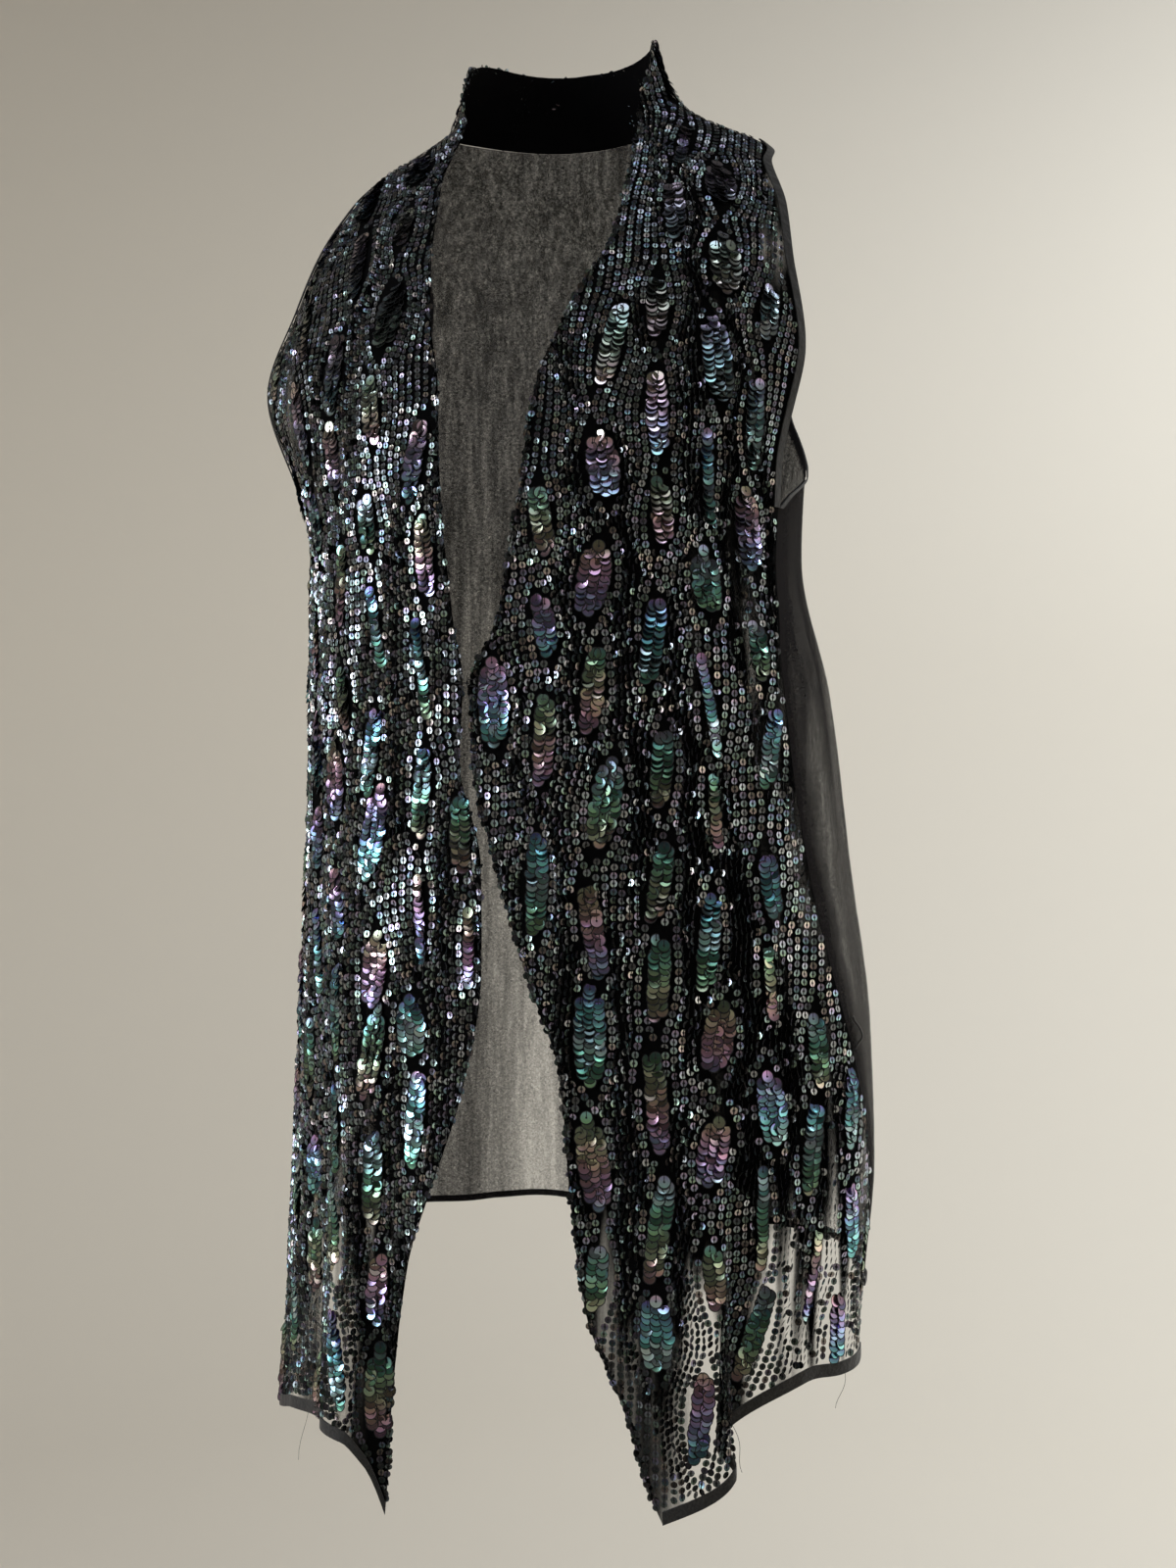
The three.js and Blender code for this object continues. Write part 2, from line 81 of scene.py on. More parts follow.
# Folds that run down the cloth, largest at the hem: the angle round the body in degrees, half the
# fold's width, its depth, how far it leans sideways, and the heights where it begins and is whole.
folds = table(
    "at half_width depth lean top hem",
    (42.5, 10, 11, 1.15, -560, -760),
    (55, 10, -11, 1.15, -560, -760),
    (25, 10, -6, 0, -430, -760),
    (76, 9, 5, 0, -420, -720),
    (-31, 9, -16, 0, -560, -780),
    (-43, 9, 5, 0, -480, -760),
    (-56, 10, -6, 0, -400, -760),
    (-76, 10, 5, 0, -420, -760),
    (100, 9, -5, 0, -330, -690),
    (118, 10, 5, 0, -300, -690),
    (138, 11, -6, 0, -260, -690),
    (160, 12, 7, 0, -240, -690),
    (-178, 11, -6, 0, -200, -690),
    (-157, 12, 6, 0, -260, -690),
    (-135, 11, -6, 0, -280, -690),
    (-114, 10, 5, 0, -320, -690),
)

# Softer and shorter creases: where each is centred, half its width in degrees, its depth, half its
# length, and how many degrees it drifts sideways on its way up.
creases = table(
    "at z half_width depth half_length drift",
    (28, -330, 7, -1.6, 150, 6),
    (44, -420, 6, 1.5, 170, 4),
    (58, -300, 7, -1.8, 130, -4),
    (66, -520, 6, -1.7, 120, 3),
    (36, -560, 6, -1.5, 110, -5),
    (18, -440, 5, 1.2, 90, 5),
    (50, -160, 7, 1.3, 70, 5),
    (-30, -360, 7, -1.6, 160, -4),
    (-46, -300, 7, 1.5, 140, 3),
    (-60, -450, 6, -1.8, 160, -3),
    (-74, -330, 7, 1.4, 120, 4),
    (-34, -560, 6, 1.4, 100, 4),
    (-50, -620, 6, -1.4, 90, -3),
    (-52, -150, 8, -1.5, 60, -6),
    (93, -420, 4, 1.4, 200, 3),
    (101, -330, 4, -1.3, 160, -2),
    (109, -480, 4.5, 1.5, 190, 4),
    (117, -260, 4, -1.2, 150, 2),
    (126, -430, 4.5, 1.6, 220, -3),
    (134, -560, 4, -1.3, 110, 2),
    (143, -300, 4.5, 1.5, 190, 4),
    (152, -470, 4, -1.6, 190, -3),
    (161, -260, 4.5, 1.2, 140, 2),
    (169, -530, 4.5, 1.5, 140, 3),
    (178, -340, 4.5, -1.5, 210, -4),
    (-173, -480, 4, 1.5, 180, 3),
    (-163, -300, 4.5, -1.4, 160, 2),
    (-154, -520, 4, -1.3, 130, -2),
    (-145, -380, 4.5, 1.6, 210, 4),
    (-136, -250, 4, 1.2, 120, -3),
    (-128, -500, 4.5, -1.5, 160, 3),
    (-119, -360, 4, 1.4, 190, -2),
    (-110, -540, 4, 1.3, 110, 2),
    (-101, -380, 4.5, -1.5, 190, 4),
)

# Each front as sections across it, from the hem to the centre back of the stand: angle and height of the
# inner end (front edge, neckline, top of the stand) and of the outer end (side seam, armhole, shoulder).
SECTION_NAMES = "inner_angle inner_z outer_angle outer_z"
sections = {
    "left": table(
        SECTION_NAMES,
        (35.3, -789, 82.5, -724),
        (29.8, -735, 87.5, -690),
        (20.8, -680, 86.5, -650),
        (17.3, -620, 82.5, -603),
        (14.8, -558, 77.5, -555),
        (6.6, -507, 73.3, -507),
        (-3, -445, 70.5, -445),
        (-9.5, -390, 68.5, -390),
        (-10.4, -347, 68, -340),
        (-3, -316, 71, -300),
        (3.2, -250, 73, -247),
        (7.3, -188, 73.2, -190),
        (17.2, -142, 74.8, -148),
        (31, -102, 74.5, -112),
        (39.5, -68, 78, -72),
        (49.5, -37, 82, -45),
        (58, -18, 90, -25),
        (66, 8, 90, -3),
        (84, 40, 104, 2),
        (120, 53, 134, 5),
        (180, 57, 180, 6),
    ),
    "right": table(
        SECTION_NAMES,
        (-34.2, -809, -92, -785),
        (-33.2, -755, -93, -690),
        (-30.6, -705, -93, -650),
        (-19.5, -628, -93, -603),
        (-10.5, -565, -93, -555),
        (-6.3, -507, -93, -507),
        (-7, -445, -93, -445),
        (-13.5, -390, -93, -390),
        (-12.7, -347, -93, -340),
        (-15, -316, -90, -300),
        (-18.6, -250, -82, -243),
        (-22.6, -183, -78, -190),
        (-28.5, -143, -79.5, -150),
        (-33.5, -108, -79.5, -112),
        (-41, -70, -80.5, -76),
        (-51, -42, -83, -48),
        (-60, -18, -90, -26),
        (-68, 9, -90, -3),
        (-84, 38, -104, 2),
        (-120, 53, -134, 5),
        (-180, 57, -180, 6),
    ),
}
UNDERARM = 10
SHOULDER_TIP = 16
NECK_POINT = 17
CENTRE_BACK = 20
HEM_RISE_SECTIONS = 3

# How far each hem rises above a straight line from its tip to its side corner.
hem_rise = {
    "left": table("across rise", (0, 0), (0.3, 12), (0.6, 24), (0.8, 12), (1, 0)),
    "right": table("across rise", (0, 0), (0.05, 27), (0.1, 38), (0.2, 37), (0.5, 26), (0.7, 11), (1, 0)),
}
SEAM_GAP = 0.3
CENTRE_BACK_GAP = 0.05
CLOTH_HALF = 0.25
SIGN = {"left": 1, "right": -1}


def between(xs, ys, at):
    """A smooth value between a table's rows that never overshoots them."""
    slope = np.diff(ys) / np.diff(xs)
    product = slope[:-1] * slope[1:]
    total = np.where(product > 0, slope[:-1] + slope[1:], 1)
    inner = np.where(product > 0, 2 * product / total, 0)
    tangent = np.concatenate([slope[:1], inner, slope[-1:]])
    i = np.clip(np.searchsorted(xs, at, side="right") - 1, 0, len(xs) - 2)
    length = xs[i + 1] - xs[i]
    t = np.clip((at - xs[i]) / length, 0, 1)
    bend = t * t * (3 - 2 * t)
    leave = t * (1 - t) ** 2 * length * tangent[i]
    arrive = t * t * (t - 1) * length * tangent[i + 1]
    return ys[i] + (ys[i + 1] - ys[i]) * bend + leave + arrive


def wrapped(angle):
    return angle - 360 * np.round(angle / 360)


def ring_radius(angle, z):
    turn = np.radians(angle)
    side, ahead = np.sin(turn), np.cos(turn)
    columns = list(rings.values())[1:]
    left, right, front, back, square = (between(rings["z"], column, z) for column in columns)
    width = np.where(side > 0, left, right)
    depth = np.where(ahead > 0, front, back)
    return ((np.abs(side) / width) ** square + (np.abs(ahead) / depth) ** square) ** (-1 / square)


def cloth_point(angle, z):
    """Points of the cloth's middle surface, in millimetres."""
    angle, z = np.broadcast_arrays(np.asarray(angle, float), np.asarray(z, float))
    out = np.zeros(angle.shape)
    sideways = np.zeros(angle.shape)
    for at, half_width, depth, lean, top, hem in zip(*folds.values()):
        away = wrapped(angle - at) / half_width
        grown = np.clip((top - z) / (top - hem), 0, 1)
        push = depth * grown * np.clip(1 - away**2, 0, None) ** 2
        out += push
        sideways += push * lean
    for at, middle, half_width, depth, half_length, drift in zip(*creases.values()):
        up = (z - middle) / half_length
        away = wrapped(angle - at - drift * up) / half_width
        out += depth * np.clip(1 - away**2, 0, None) ** 2 * np.clip(1 - up**2, 0, None) ** 2
    radius = ring_radius(angle, z) + out
    turn = np.radians(angle) + sideways / radius
    return np.stack([radius * np.sin(turn), -radius * np.cos(turn), z], axis=-1)


def unit(vectors):
    return vectors / np.linalg.norm(vectors, axis=-1, keepdims=True)


def cloth_normal(angle, z, small=0.05):
    """The cloth's outward normals."""
    around = cloth_point(angle + small, z) - cloth_point(angle - small, z)
    upwards = cloth_point(angle, z + small) - cloth_point(angle, z - small)
    return unit(np.cross(around, upwards))


def front_place(side, across, along):
    """Angle and height on a front: across runs from the inner end to the outer, along counts sections."""
    rows = np.arange(CENTRE_BACK + 1.0)
    column = {name: between(rows, values, along) for name, values in sections[side].items()}
    gap = np.degrees(SEAM_GAP / 2 / ring_radius(column["outer_angle"], column["outer_z"])) * SIGN[side]
    on_neck = along > NECK_POINT
    up_to_centre_back = on_neck & (along < CENTRE_BACK)
    outer_angle = np.where(up_to_centre_back, column["outer_angle"], column["outer_angle"] - gap)
    outer_z = np.where(on_neck, column["outer_z"] + SEAM_GAP / 2, column["outer_z"])
    centre_gap = gap * CENTRE_BACK_GAP / SEAM_GAP
    outer_angle = np.where(along >= CENTRE_BACK, column["outer_angle"] - centre_gap, outer_angle)
    inner_angle = np.where(along >= CENTRE_BACK, column["inner_angle"] - centre_gap, column["inner_angle"])
    fade = np.clip(1 - along / HEM_RISE_SECTIONS, 0, None) ** 2
    rise = fade * between(hem_rise[side]["across"], hem_rise[side]["rise"], across)
    angle = inner_angle + (outer_angle - inner_angle) * across
    return angle, column["inner_z"] + (outer_z - column["inner_z"]) * across + rise


def cloth_sheet(name, angle, z, inner, outer, doubled=0):
    """A closed sheet over a grid of places, between two distances out from the cloth's middle surface.

    Its attribute says how far each point stands out, less what makes it look doubled at a seam.
    """
    rows, columns = angle.shape
    bpy.ops.mesh.primitive_grid_add(x_subdivisions=columns - 1, y_subdivisions=rows - 1, size=1)
    sheet = bpy.context.object
    sheet.name = name
    sheet.data.name = name
    points = (cloth_point(angle, z) + cloth_normal(angle, z) * outer).reshape(-1, 3) * MM
    sheet.data.vertices.foreach_set("co", points.ravel())
    raised = np.linalg.norm(cloth_point(angle, z)[..., :2], axis=-1) - ring_radius(angle, z) - doubled
    sheet.data.attributes.new("raised", "FLOAT", "POINT").data.foreach_set("value", raised.ravel())
    sheet.data.update()
    faces_out = sheet.data.polygons[len(sheet.data.polygons) // 2]
    i = faces_out.vertices[0]
    if faces_out.normal.dot(tuple(map(float, cloth_normal(angle, z).reshape(-1, 3)[i]))) < 0:
        bpy.ops.object.mode_set(mode="EDIT")
        bpy.ops.mesh.select_all(action="SELECT")
        bpy.ops.mesh.flip_normals()
        bpy.ops.object.mode_set(mode="OBJECT")
    thickness = sheet.modifiers.new("thickness", "SOLIDIFY")
    thickness.thickness = (outer - inner) * MM
    thickness.offset = -1
    thickness.use_quality_normals = True
    bpy.ops.object.modifier_apply(modifier=thickness.name)
    bpy.ops.object.shade_smooth_by_angle(angle=math.radians(60))
    bpy.ops.object.select_all(action="DESELECT")
    return sheet


def front_grid(side, columns=64, rows=150):
    """The places of a front's grid, from the hem up and from the front edge to the side."""
    along, across = np.meshgrid(np.linspace(0, CENTRE_BACK, rows), np.linspace(0, 1, columns), indexing="ij")
    return front_place(side, across, along)


def colour(hex_code):
    """An sRGB hex value as linear colour."""
    parts = [int(hex_code[i : i + 2], 16) / 255 for i in (1, 3, 5)]
    return tuple(p / 12.92 if p <= 0.04045 else ((p + 0.055) / 1.055) ** 2.4 for p in parts) + (1.0,)


def new_material(name):
    """A material with an empty shader, its node tree and its Principled BSDF."""
    material = bpy.data.materials.new(name)
    material.use_nodes = True
    return material, material.node_tree, material.node_tree.nodes["Principled BSDF"]


def add(tree, kind, settings=None, links=None):
    """Adds a node with its settings, values and links. Links and values go by the socket's name or number."""
    node = tree.nodes.new(kind)
    for key, value in (settings or {}).items():
        setattr(node, key, value)
    for key, value in (links or {}).items():
        socket = node.inputs[key]
        if isinstance(value, bpy.types.NodeSocket):
            tree.links.new(value, socket)
        else:
            socket.default_value = value
    return node


MATHS, NOISE, MIX = "ShaderNodeMath", "ShaderNodeTexNoise", "ShaderNodeMix"

# How the cloth's unevenness is drawn out along its length, and the scales of its three patterns.
DRAWN_OUT = (1, 1, 0.07)
PATCHES, STREAKS, GRAIN = 62.0, 260.0, 760.0
# How much sheerer the cloth is made for each millimetre it stands out: painted fold shade.
FOLD_SHADE_PER_MM = 0.04
LEAST_DENSITY = 0.06


def chiffon(name, hex_code, sheer, solid, heights, unevenness, closer_at_middle=False):
    """Silk chiffon, dyed black: matt and sheer, with a crepe grain, and painted fold shade that makes it more
    solid in its folds' troughs.

    It goes from sheer to solid between two heights, and is uneven in wide patches, streaks and grain.
    """
    material, tree, shader = new_material(name)
    place = add(tree, "ShaderNodeTexCoord").outputs["Object"]
    axes = add(tree, "ShaderNodeSeparateXYZ", links={0: place}).outputs
    drawn = add(tree, "ShaderNodeMapping", links={"Vector": place, "Scale": DRAWN_OUT}).outputs[0]
    patches = add(tree, NOISE, links={"Vector": drawn, "Scale": PATCHES, "Detail": 1.0}).outputs[0]
    streaks = add(tree, NOISE, links={"Vector": drawn, "Scale": STREAKS, "Detail": 2.0}).outputs[0]
    crepe = {"Vector": place, "Scale": GRAIN, "Detail": 2.0, "Roughness": 0.6, "Distortion": 1.2}
    grain = add(tree, NOISE, links=crepe).outputs[0]
    level = add(tree, MATHS, {"operation": "SUBTRACT"}, {0: axes["Z"], 1: 0.15}).outputs[0]
    wavering = add(tree, MATHS, {"operation": "MULTIPLY_ADD"}, {0: patches, 1: 0.3, 2: level}).outputs[0]
    low, high = heights
    fade = {"Value": wavering, "From Min": low, "From Max": high, "To Min": sheer, "To Max": solid}
    alpha = add(tree, "ShaderNodeMapRange", {"interpolation_type": "SMOOTHSTEP"}, fade).outputs[0]
    raised = add(tree, "ShaderNodeAttribute", {"attribute_name": "raised"}).outputs["Fac"]
    # Painted fold shade: the cloth turns more solid, and so darker, in a fold's trough and sheerer where it
    # stands out; it is also more solid where doubled at a seam.
    fold_shade = {0: raised, 1: -FOLD_SHADE_PER_MM, 2: alpha}
    alpha = add(tree, MATHS, {"operation": "MULTIPLY_ADD"}, fold_shade).outputs[0]
    for pattern, amount in zip((patches, streaks, grain), unevenness):
        share = {0: pattern, 1: amount, 2: -amount / 2}
        uneven = add(tree, MATHS, {"operation": "MULTIPLY_ADD"}, share).outputs[0]
        alpha = add(tree, MATHS, {"operation": "ADD"}, {0: alpha, 1: uneven}).outputs[0]
    if closer_at_middle:
        # Towards the front edges the rows are closer, and the cloth shows less.
        from_middle = add(tree, MATHS, {"operation": "ABSOLUTE"}, {0: axes["X"]}).outputs[0]
        closing = {"Value": from_middle, "From Min": 0.07, "From Max": 0.13, "To Min": 0.5, "To Max": -0.12}
        closer = add(tree, "ShaderNodeMapRange", links=closing).outputs[0]
        alpha = add(tree, MATHS, {"operation": "ADD"}, {0: alpha, 1: closer}).outputs[0]
    least = {0: alpha, 1: LEAST_DENSITY}
    density = add(tree, MATHS, {"operation": "MAXIMUM", "use_clamp": True}, least).outputs[0]
    tree.links.new(density, shader.inputs["Alpha"])
    bump = add(tree, "ShaderNodeBump", links={"Height": grain, "Strength": 0.3, "Distance": 0.0002})
    tree.links.new(bump.outputs[0], shader.inputs["Normal"])
    shader.inputs["Base Color"].default_value = colour(hex_code)
    shader.inputs["Roughness"].default_value = 0.95
    shader.inputs["Specular IOR Level"].default_value = 0.05
    return material


# The fronts turn solid above their sheer hems: painted shade in place of the shaded body that the cloth
# covers there.
front_chiffon = chiffon(
    "black silk chiffon, sewn over",
    "#070708",
    sheer=0.25,
    solid=1.15,
    heights=(-0.71, -0.62),
    unevenness=(2.4, 0.6, 0.2),
    closer_at_middle=True,
)
ground = {}
for side in ("left", "right"):
    angle, z = front_grid(side)
    ground[side] = cloth_sheet(f"front_{side}_ground", angle, z, -CLOTH_HALF, CLOTH_HALF)
    ground[side].data.materials.append(front_chiffon)
    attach(ground[side], "root")
    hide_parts(f"front_{side}")


# The back
#
# A plain panel of the same sheer cloth, with no sequins. It is shorter than the fronts and falls from
# the shoulders in fine soft folds, and joins the fronts at the side seams and along the shoulders.
BACK_HEM = 1
SIDE_ROWS = 18
ARMHOLE_ROWS = 10
TOP_ROW = SIDE_ROWS + ARMHOLE_ROWS
HALF_COLUMNS = 15
LAST_COLUMN = 2 * HALF_COLUMNS
GRID_STEPS = 4
BACK_COLUMN_WIDTH = 13.5
SEAM_ALLOWANCE = 14
SEAM_DENSITY = 16
ROWS_PER_SECTION = 2
back_armhole = {
    "left": table(
        "angle z",
        (73, -247),
        (78, -238),
        (86, -229),
        (96, -219),
        (107, -202),
        (117, -172),
        (121, -135),
        (121, -95),
        (115, -60),
        (103, -37),
        (90, -25),
    ),
    "right": table(
        "angle z",
        (-82, -243),
        (-87, -236),
        (-94, -227),
        (-102, -216),
        (-110, -200),
        (-118, -170),
        (-121, -135),
        (-121, -95),
        (-115, -60),
        (-103, -37),
        (-90, -26),
    ),
}


def seam_place(side, along):
    """The back's side of a seam, half the gap away from the front's outer end."""
    rows = np.arange(CENTRE_BACK + 1.0)
    angle = between(rows, sections[side]["outer_angle"], along)
    z = between(rows, sections[side]["outer_z"], along)
    gap = np.degrees(SEAM_GAP / 2 / ring_radius(angle, z)) * SIGN[side]
    on_neck = along > NECK_POINT
    return np.where(on_neck, angle, angle + gap) % 360, np.where(on_neck, z - SEAM_GAP / 2, z)


def back_side(side, row):
    """One side edge of the back, up the side seam and then up its own armhole."""
    seam_angle, seam_z = seam_place(side, BACK_HEM + np.minimum(row, SIDE_ROWS) / ROWS_PER_SECTION)
    armhole = back_armhole[side]
    step = np.arange(ARMHOLE_ROWS + 1.0)
    above = np.clip(row - SIDE_ROWS, 0, None)
    open_angle = between(step, armhole["angle"], above) % 360
    open_z = between(step, armhole["z"], above)
    return np.where(row <= SIDE_ROWS, seam_angle, open_angle), np.where(row <= SIDE_ROWS, seam_z, open_z)


def back_place(column, row):
    """Angle and height on the back, blended between its edges above the underarm."""
    ends = [back_side(side, row) for side in ("left", "right")]
    corners = [back_side(side, np.full(row.shape, float(TOP_ROW))) for side in ("left", "right")]
    inward = HALF_COLUMNS - np.abs(column - HALF_COLUMNS)
    along = np.interp(inward, (0, 3, 6, 10, 15), (16, 17, 18, 19, 20))
    tops = [seam_place(side, along) for side in ("left", "right")]
    share = column / LAST_COLUMN
    reach = np.clip((row - SIDE_ROWS) / ARMHOLE_ROWS, 0, 1) ** 2
    places = []
    for k in (0, 1):
        sides = ends[0][k] + (ends[1][k] - ends[0][k]) * share
        top = np.where(column <= HALF_COLUMNS, tops[0][k], tops[1][k])
        corner = corners[0][k] + (corners[1][k] - corners[0][k]) * share
        places.append(sides + reach * (top - corner))
    return places


up_rows = np.linspace(0, TOP_ROW, GRID_STEPS * TOP_ROW + 1)
over_columns = np.linspace(0, LAST_COLUMN, GRID_STEPS * LAST_COLUMN + 1)
row, column = np.meshgrid(up_rows, over_columns, indexing="ij")
angle, z = back_place(column, row)
from_seam = (HALF_COLUMNS - np.abs(column - HALF_COLUMNS)) * BACK_COLUMN_WIDTH
doubled = SEAM_DENSITY * np.clip(1 - from_seam / SEAM_ALLOWANCE, 0, 1)
back = cloth_sheet("back_panel", angle, z, -CLOTH_HALF, CLOTH_HALF, doubled)
# The back's chiffon is given a lighter grey than the fronts': painted light on the same black cloth.
plain_chiffon_painted_light = chiffon("black silk chiffon, plain", "#262425", 0.43, 0.7, (-0.40, -0.26), (0.2, 0.4, 1.0))
back.data.materials.append(plain_chiffon_painted_light)
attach(back, "root")
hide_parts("back")


# Bands, bindings and edges
#
# Each front's hem has a turned band of the same cloth, which shows as a solid black line. The armholes
# are bound on the front and narrowly hemmed on the back, like the back's lower edge.
CLOTH_OUT = 0.9
EDGING_OUT = 1.7
# The share of a front's width over which the way in from its armhole is measured.
MEASURED_SHARE = 0.1


def strip_sheet(name, places, steps_in, width):
    """An edging over places, which gives an angle and a height for a share of the width in from the edge."""
    grids = [places(share * width) for share in np.linspace(0, 1, steps_in)]
    angle = np.stack([g[0] for g in grids])
    z = np.stack([g[1] for g in grids])
    return cloth_sheet(name, angle, z, CLOTH_OUT, EDGING_OUT)


def hem_places(side):
    across = np.linspace(0, 1, 90)

    def places(up):
        angle, z = front_place(side, across, np.zeros(across.shape))
        return angle, z + up

    return places


def armhole_places(side):
    along = np.linspace(UNDERARM, SHOULDER_TIP, 70)

    def places(inward):
        near = cloth_point(*front_place(side, np.ones(along.shape), along))
        far = cloth_point(*front_place(side, np.full(along.shape, 1 - MEASURED_SHARE), along))
        share = MEASURED_SHARE * inward / np.linalg.norm(far - near, axis=1)
        return front_place(side, 1 - share, along)

    return places


def back_hem_places(up):
    column = np.linspace(0, LAST_COLUMN, 160)
    angle, z = back_place(column, np.zeros(column.shape))
    return angle, z + up


def back_armhole_places(side):
    row = np.linspace(SIDE_ROWS, TOP_ROW, 80)
    edge_column = 0 if side == "left" else LAST_COLUMN
    inner_column = edge_column + SIGN[side]

    def places(inward):
        near = cloth_point(*back_place(np.full(row.shape, 0.0 + edge_column), row))
        far = cloth_point(*back_place(np.full(row.shape, 0.0 + inner_column), row))
        share = SIGN[side] * inward / np.linalg.norm(far - near, axis=1)
        return back_place(edge_column + share, row)

    return places


# The sockets of a colour Mix node that take its two colours.
FIRST_COLOUR, SECOND_COLOUR = 6, 7


def edging_cloth(name, dark, light):
    """The same chiffon turned double and pressed flat: solid black, with the cross ribs of its stitching."""
    material, tree, shader = new_material(name)
    place = add(tree, "ShaderNodeTexCoord").outputs["Object"]
    crepe = add(tree, NOISE, links={"Vector": place, "Scale": 900.0, "Detail": 2.0}).outputs[0]
    pucker = add(tree, NOISE, links={"Vector": place, "Scale": 210.0, "Detail": 1.0}).outputs[0]
    puckered = {0: pucker, 1: 3.0, 2: crepe}
    height = add(tree, MATHS, {"operation": "MULTIPLY_ADD"}, puckered).outputs[0]
    bump = add(tree, "ShaderNodeBump", links={"Height": height, "Strength": 0.6, "Distance": 0.0004})
    tree.links.new(bump.outputs[0], shader.inputs["Normal"])
    rubbed = {0: crepe, 1: 3.0, 2: -1.0}
    worn = add(tree, MATHS, {"operation": "MULTIPLY_ADD", "use_clamp": True}, rubbed).outputs[0]
    colours = {"Factor": worn, FIRST_COLOUR: colour(dark), SECOND_COLOUR: colour(light)}
    mix = add(tree, MIX, {"data_type": "RGBA"}, colours)
    tree.links.new(mix.outputs[2], shader.inputs["Base Color"])
    shader.inputs["Roughness"].default_value = 0.7
    shader.inputs["Sheen Weight"].default_value = 0.2
    return material


hem_black = edging_cloth("black chiffon, turned double, rubbed", "#0b0b0b", "#292827")
binding_black = edging_cloth("black chiffon, turned double", "#080808", "#161516")
HEM_BAND = 7
BINDING = 5.5
BACK_EDGE = 4
# Each edging's places, its steps in from the edge and its width.
cuts = {
    "hem_band_left": (hem_places("left"), 5, HEM_BAND),
    "hem_band_right": (hem_places("right"), 5, HEM_BAND),
    "armhole_binding_left": (armhole_places("left"), 4, BINDING),
    "armhole_binding_right": (armhole_places("right"), 4, BINDING),
    "back_hem_edge": (back_hem_places, 3, BACK_EDGE),
    "back_armhole_edge_left": (back_armhole_places("left"), 3, BACK_EDGE),
    "back_armhole_edge_right": (back_armhole_places("right"), 3, BACK_EDGE),
}
edgings = {node: strip_sheet(f"{node}_cloth", *cut) for node, cut in cuts.items()}
for node, piece in edgings.items():
    piece.data.materials.append(hem_black if node.startswith("hem_band") else binding_black)
    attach(piece, "root")
    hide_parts(node)


# The closure and the side loop
#
# A small hook on the right front goes round the bar of an eye on the left one. Both are worked over with
# black buttonhole thread, and so is the flat loop on the left side seam.
def thread_cover(name):
    """Buttonhole stitches in black polyester thread, side by side: fine ribs with a soft gloss."""
    material, tree, shader = new_material(name)
    place = add(tree, "ShaderNodeTexCoord").outputs["Object"]
    # Stitches 0.5 mm apart, drawn twice as coarse as the real thread so that they show.
    stitches = {"Vector": place, "Scale": 640.0}
    ribs = add(tree, "ShaderNodeTexWave", {"bands_direction": "DIAGONAL"}, stitches).outputs[1]
    bump = add(tree, "ShaderNodeBump", links={"Height": ribs, "Strength": 0.8, "Distance": 0.0003})
    tree.links.new(bump.outputs[0], shader.inputs["Normal"])
    colours = {"Factor": ribs, FIRST_COLOUR: colour("#060606"), SECOND_COLOUR: colour("#1b1a1d")}
    mix = add(tree, MIX, {"data_type": "RGBA"}, colours)
    tree.links.new(mix.outputs[2], shader.inputs["Base Color"])
    shader.inputs["Roughness"].default_value = 0.55
    return material


thread_black = thread_cover("black buttonhole thread")
for node in ("closure_hook", "closure_eye", "side_loop_left"):
    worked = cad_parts[node]
    worked.data.materials.clear()
    worked.data.materials.append(thread_black)


# The sequins in rows
#
# Round sequins of black film with an oil-like sheen, each sewn flat in a row with a stitch to either side
# of its hole. The rows run up the fronts and bend round the leaf shapes, and where they crowd together
# the sequins stand turned about their row, one behind the next.
ROW_PITCH = 4.5
LEAST_APART = 2.3
FILLER_APART = 4.2
MOST_TURNED = math.radians(50)
TURNED_ONE_WAY = 0.86
ROOM_TO_SPARE = 0.3
FILLERS = 5000
# Towards the hem the sequins of a row touch, and the cloth shows between the rows. On the chest both
# the sequins and the steps between them are smaller.
sizes = table("z pitch radius", (-690, 3.9, 2.0), (-600, 4.5, 2.15), (-330, 4.5, 2.15), (-200, 3.6, 1.75))
FILLERS_ABOVE = -610
# How wide a leaf shape pushes the rows apart for each of its columns, and how far round it and past its
# ends the push is felt.
LEAF_COLUMN = 2.7
PUSH_REACH = 17
PUSH_PAST_ENDS = 8
LEAF_SPACING = 31.0
LEAF_STEP = 62.0
LEAF_HALF_LENGTH = (18, 31)
LEAF_COLUMNS = (1, 2, 2, 2, 2, 3, 3)
LEAF_SLANT = 0.2
LEAF_FROM_EDGE = 7
# The flat cloth is worked out on levels up the body and angles round it.
LEVEL_STEP = 2.0
LEVELS = np.arange(-816, 64, LEVEL_STEP)
ANGLE_STEP = 0.5
ANGLES = np.arange(-20, 181, ANGLE_STEP)
SPREAD = np.arange(-60, 280, 1.0)
SIDE_ANGLE = 55.0
rng = np.random.default_rng(27)


def blended(grid, row, column):
    """Values between a grid's rows and columns."""
    row = np.clip(row, 0, grid.shape[0] - 1.001)
    column = np.clip(column, 0, grid.shape[1] - 1.001)
    low, near = row.astype(int), column.astype(int)
    total = 0
    for i, up in enumerate((1 - (row - low), row - low)):
        for j, on in enumerate((1 - (column - near), column - near)):
            total = total + grid[low + i, near + j] * up * on
    return total


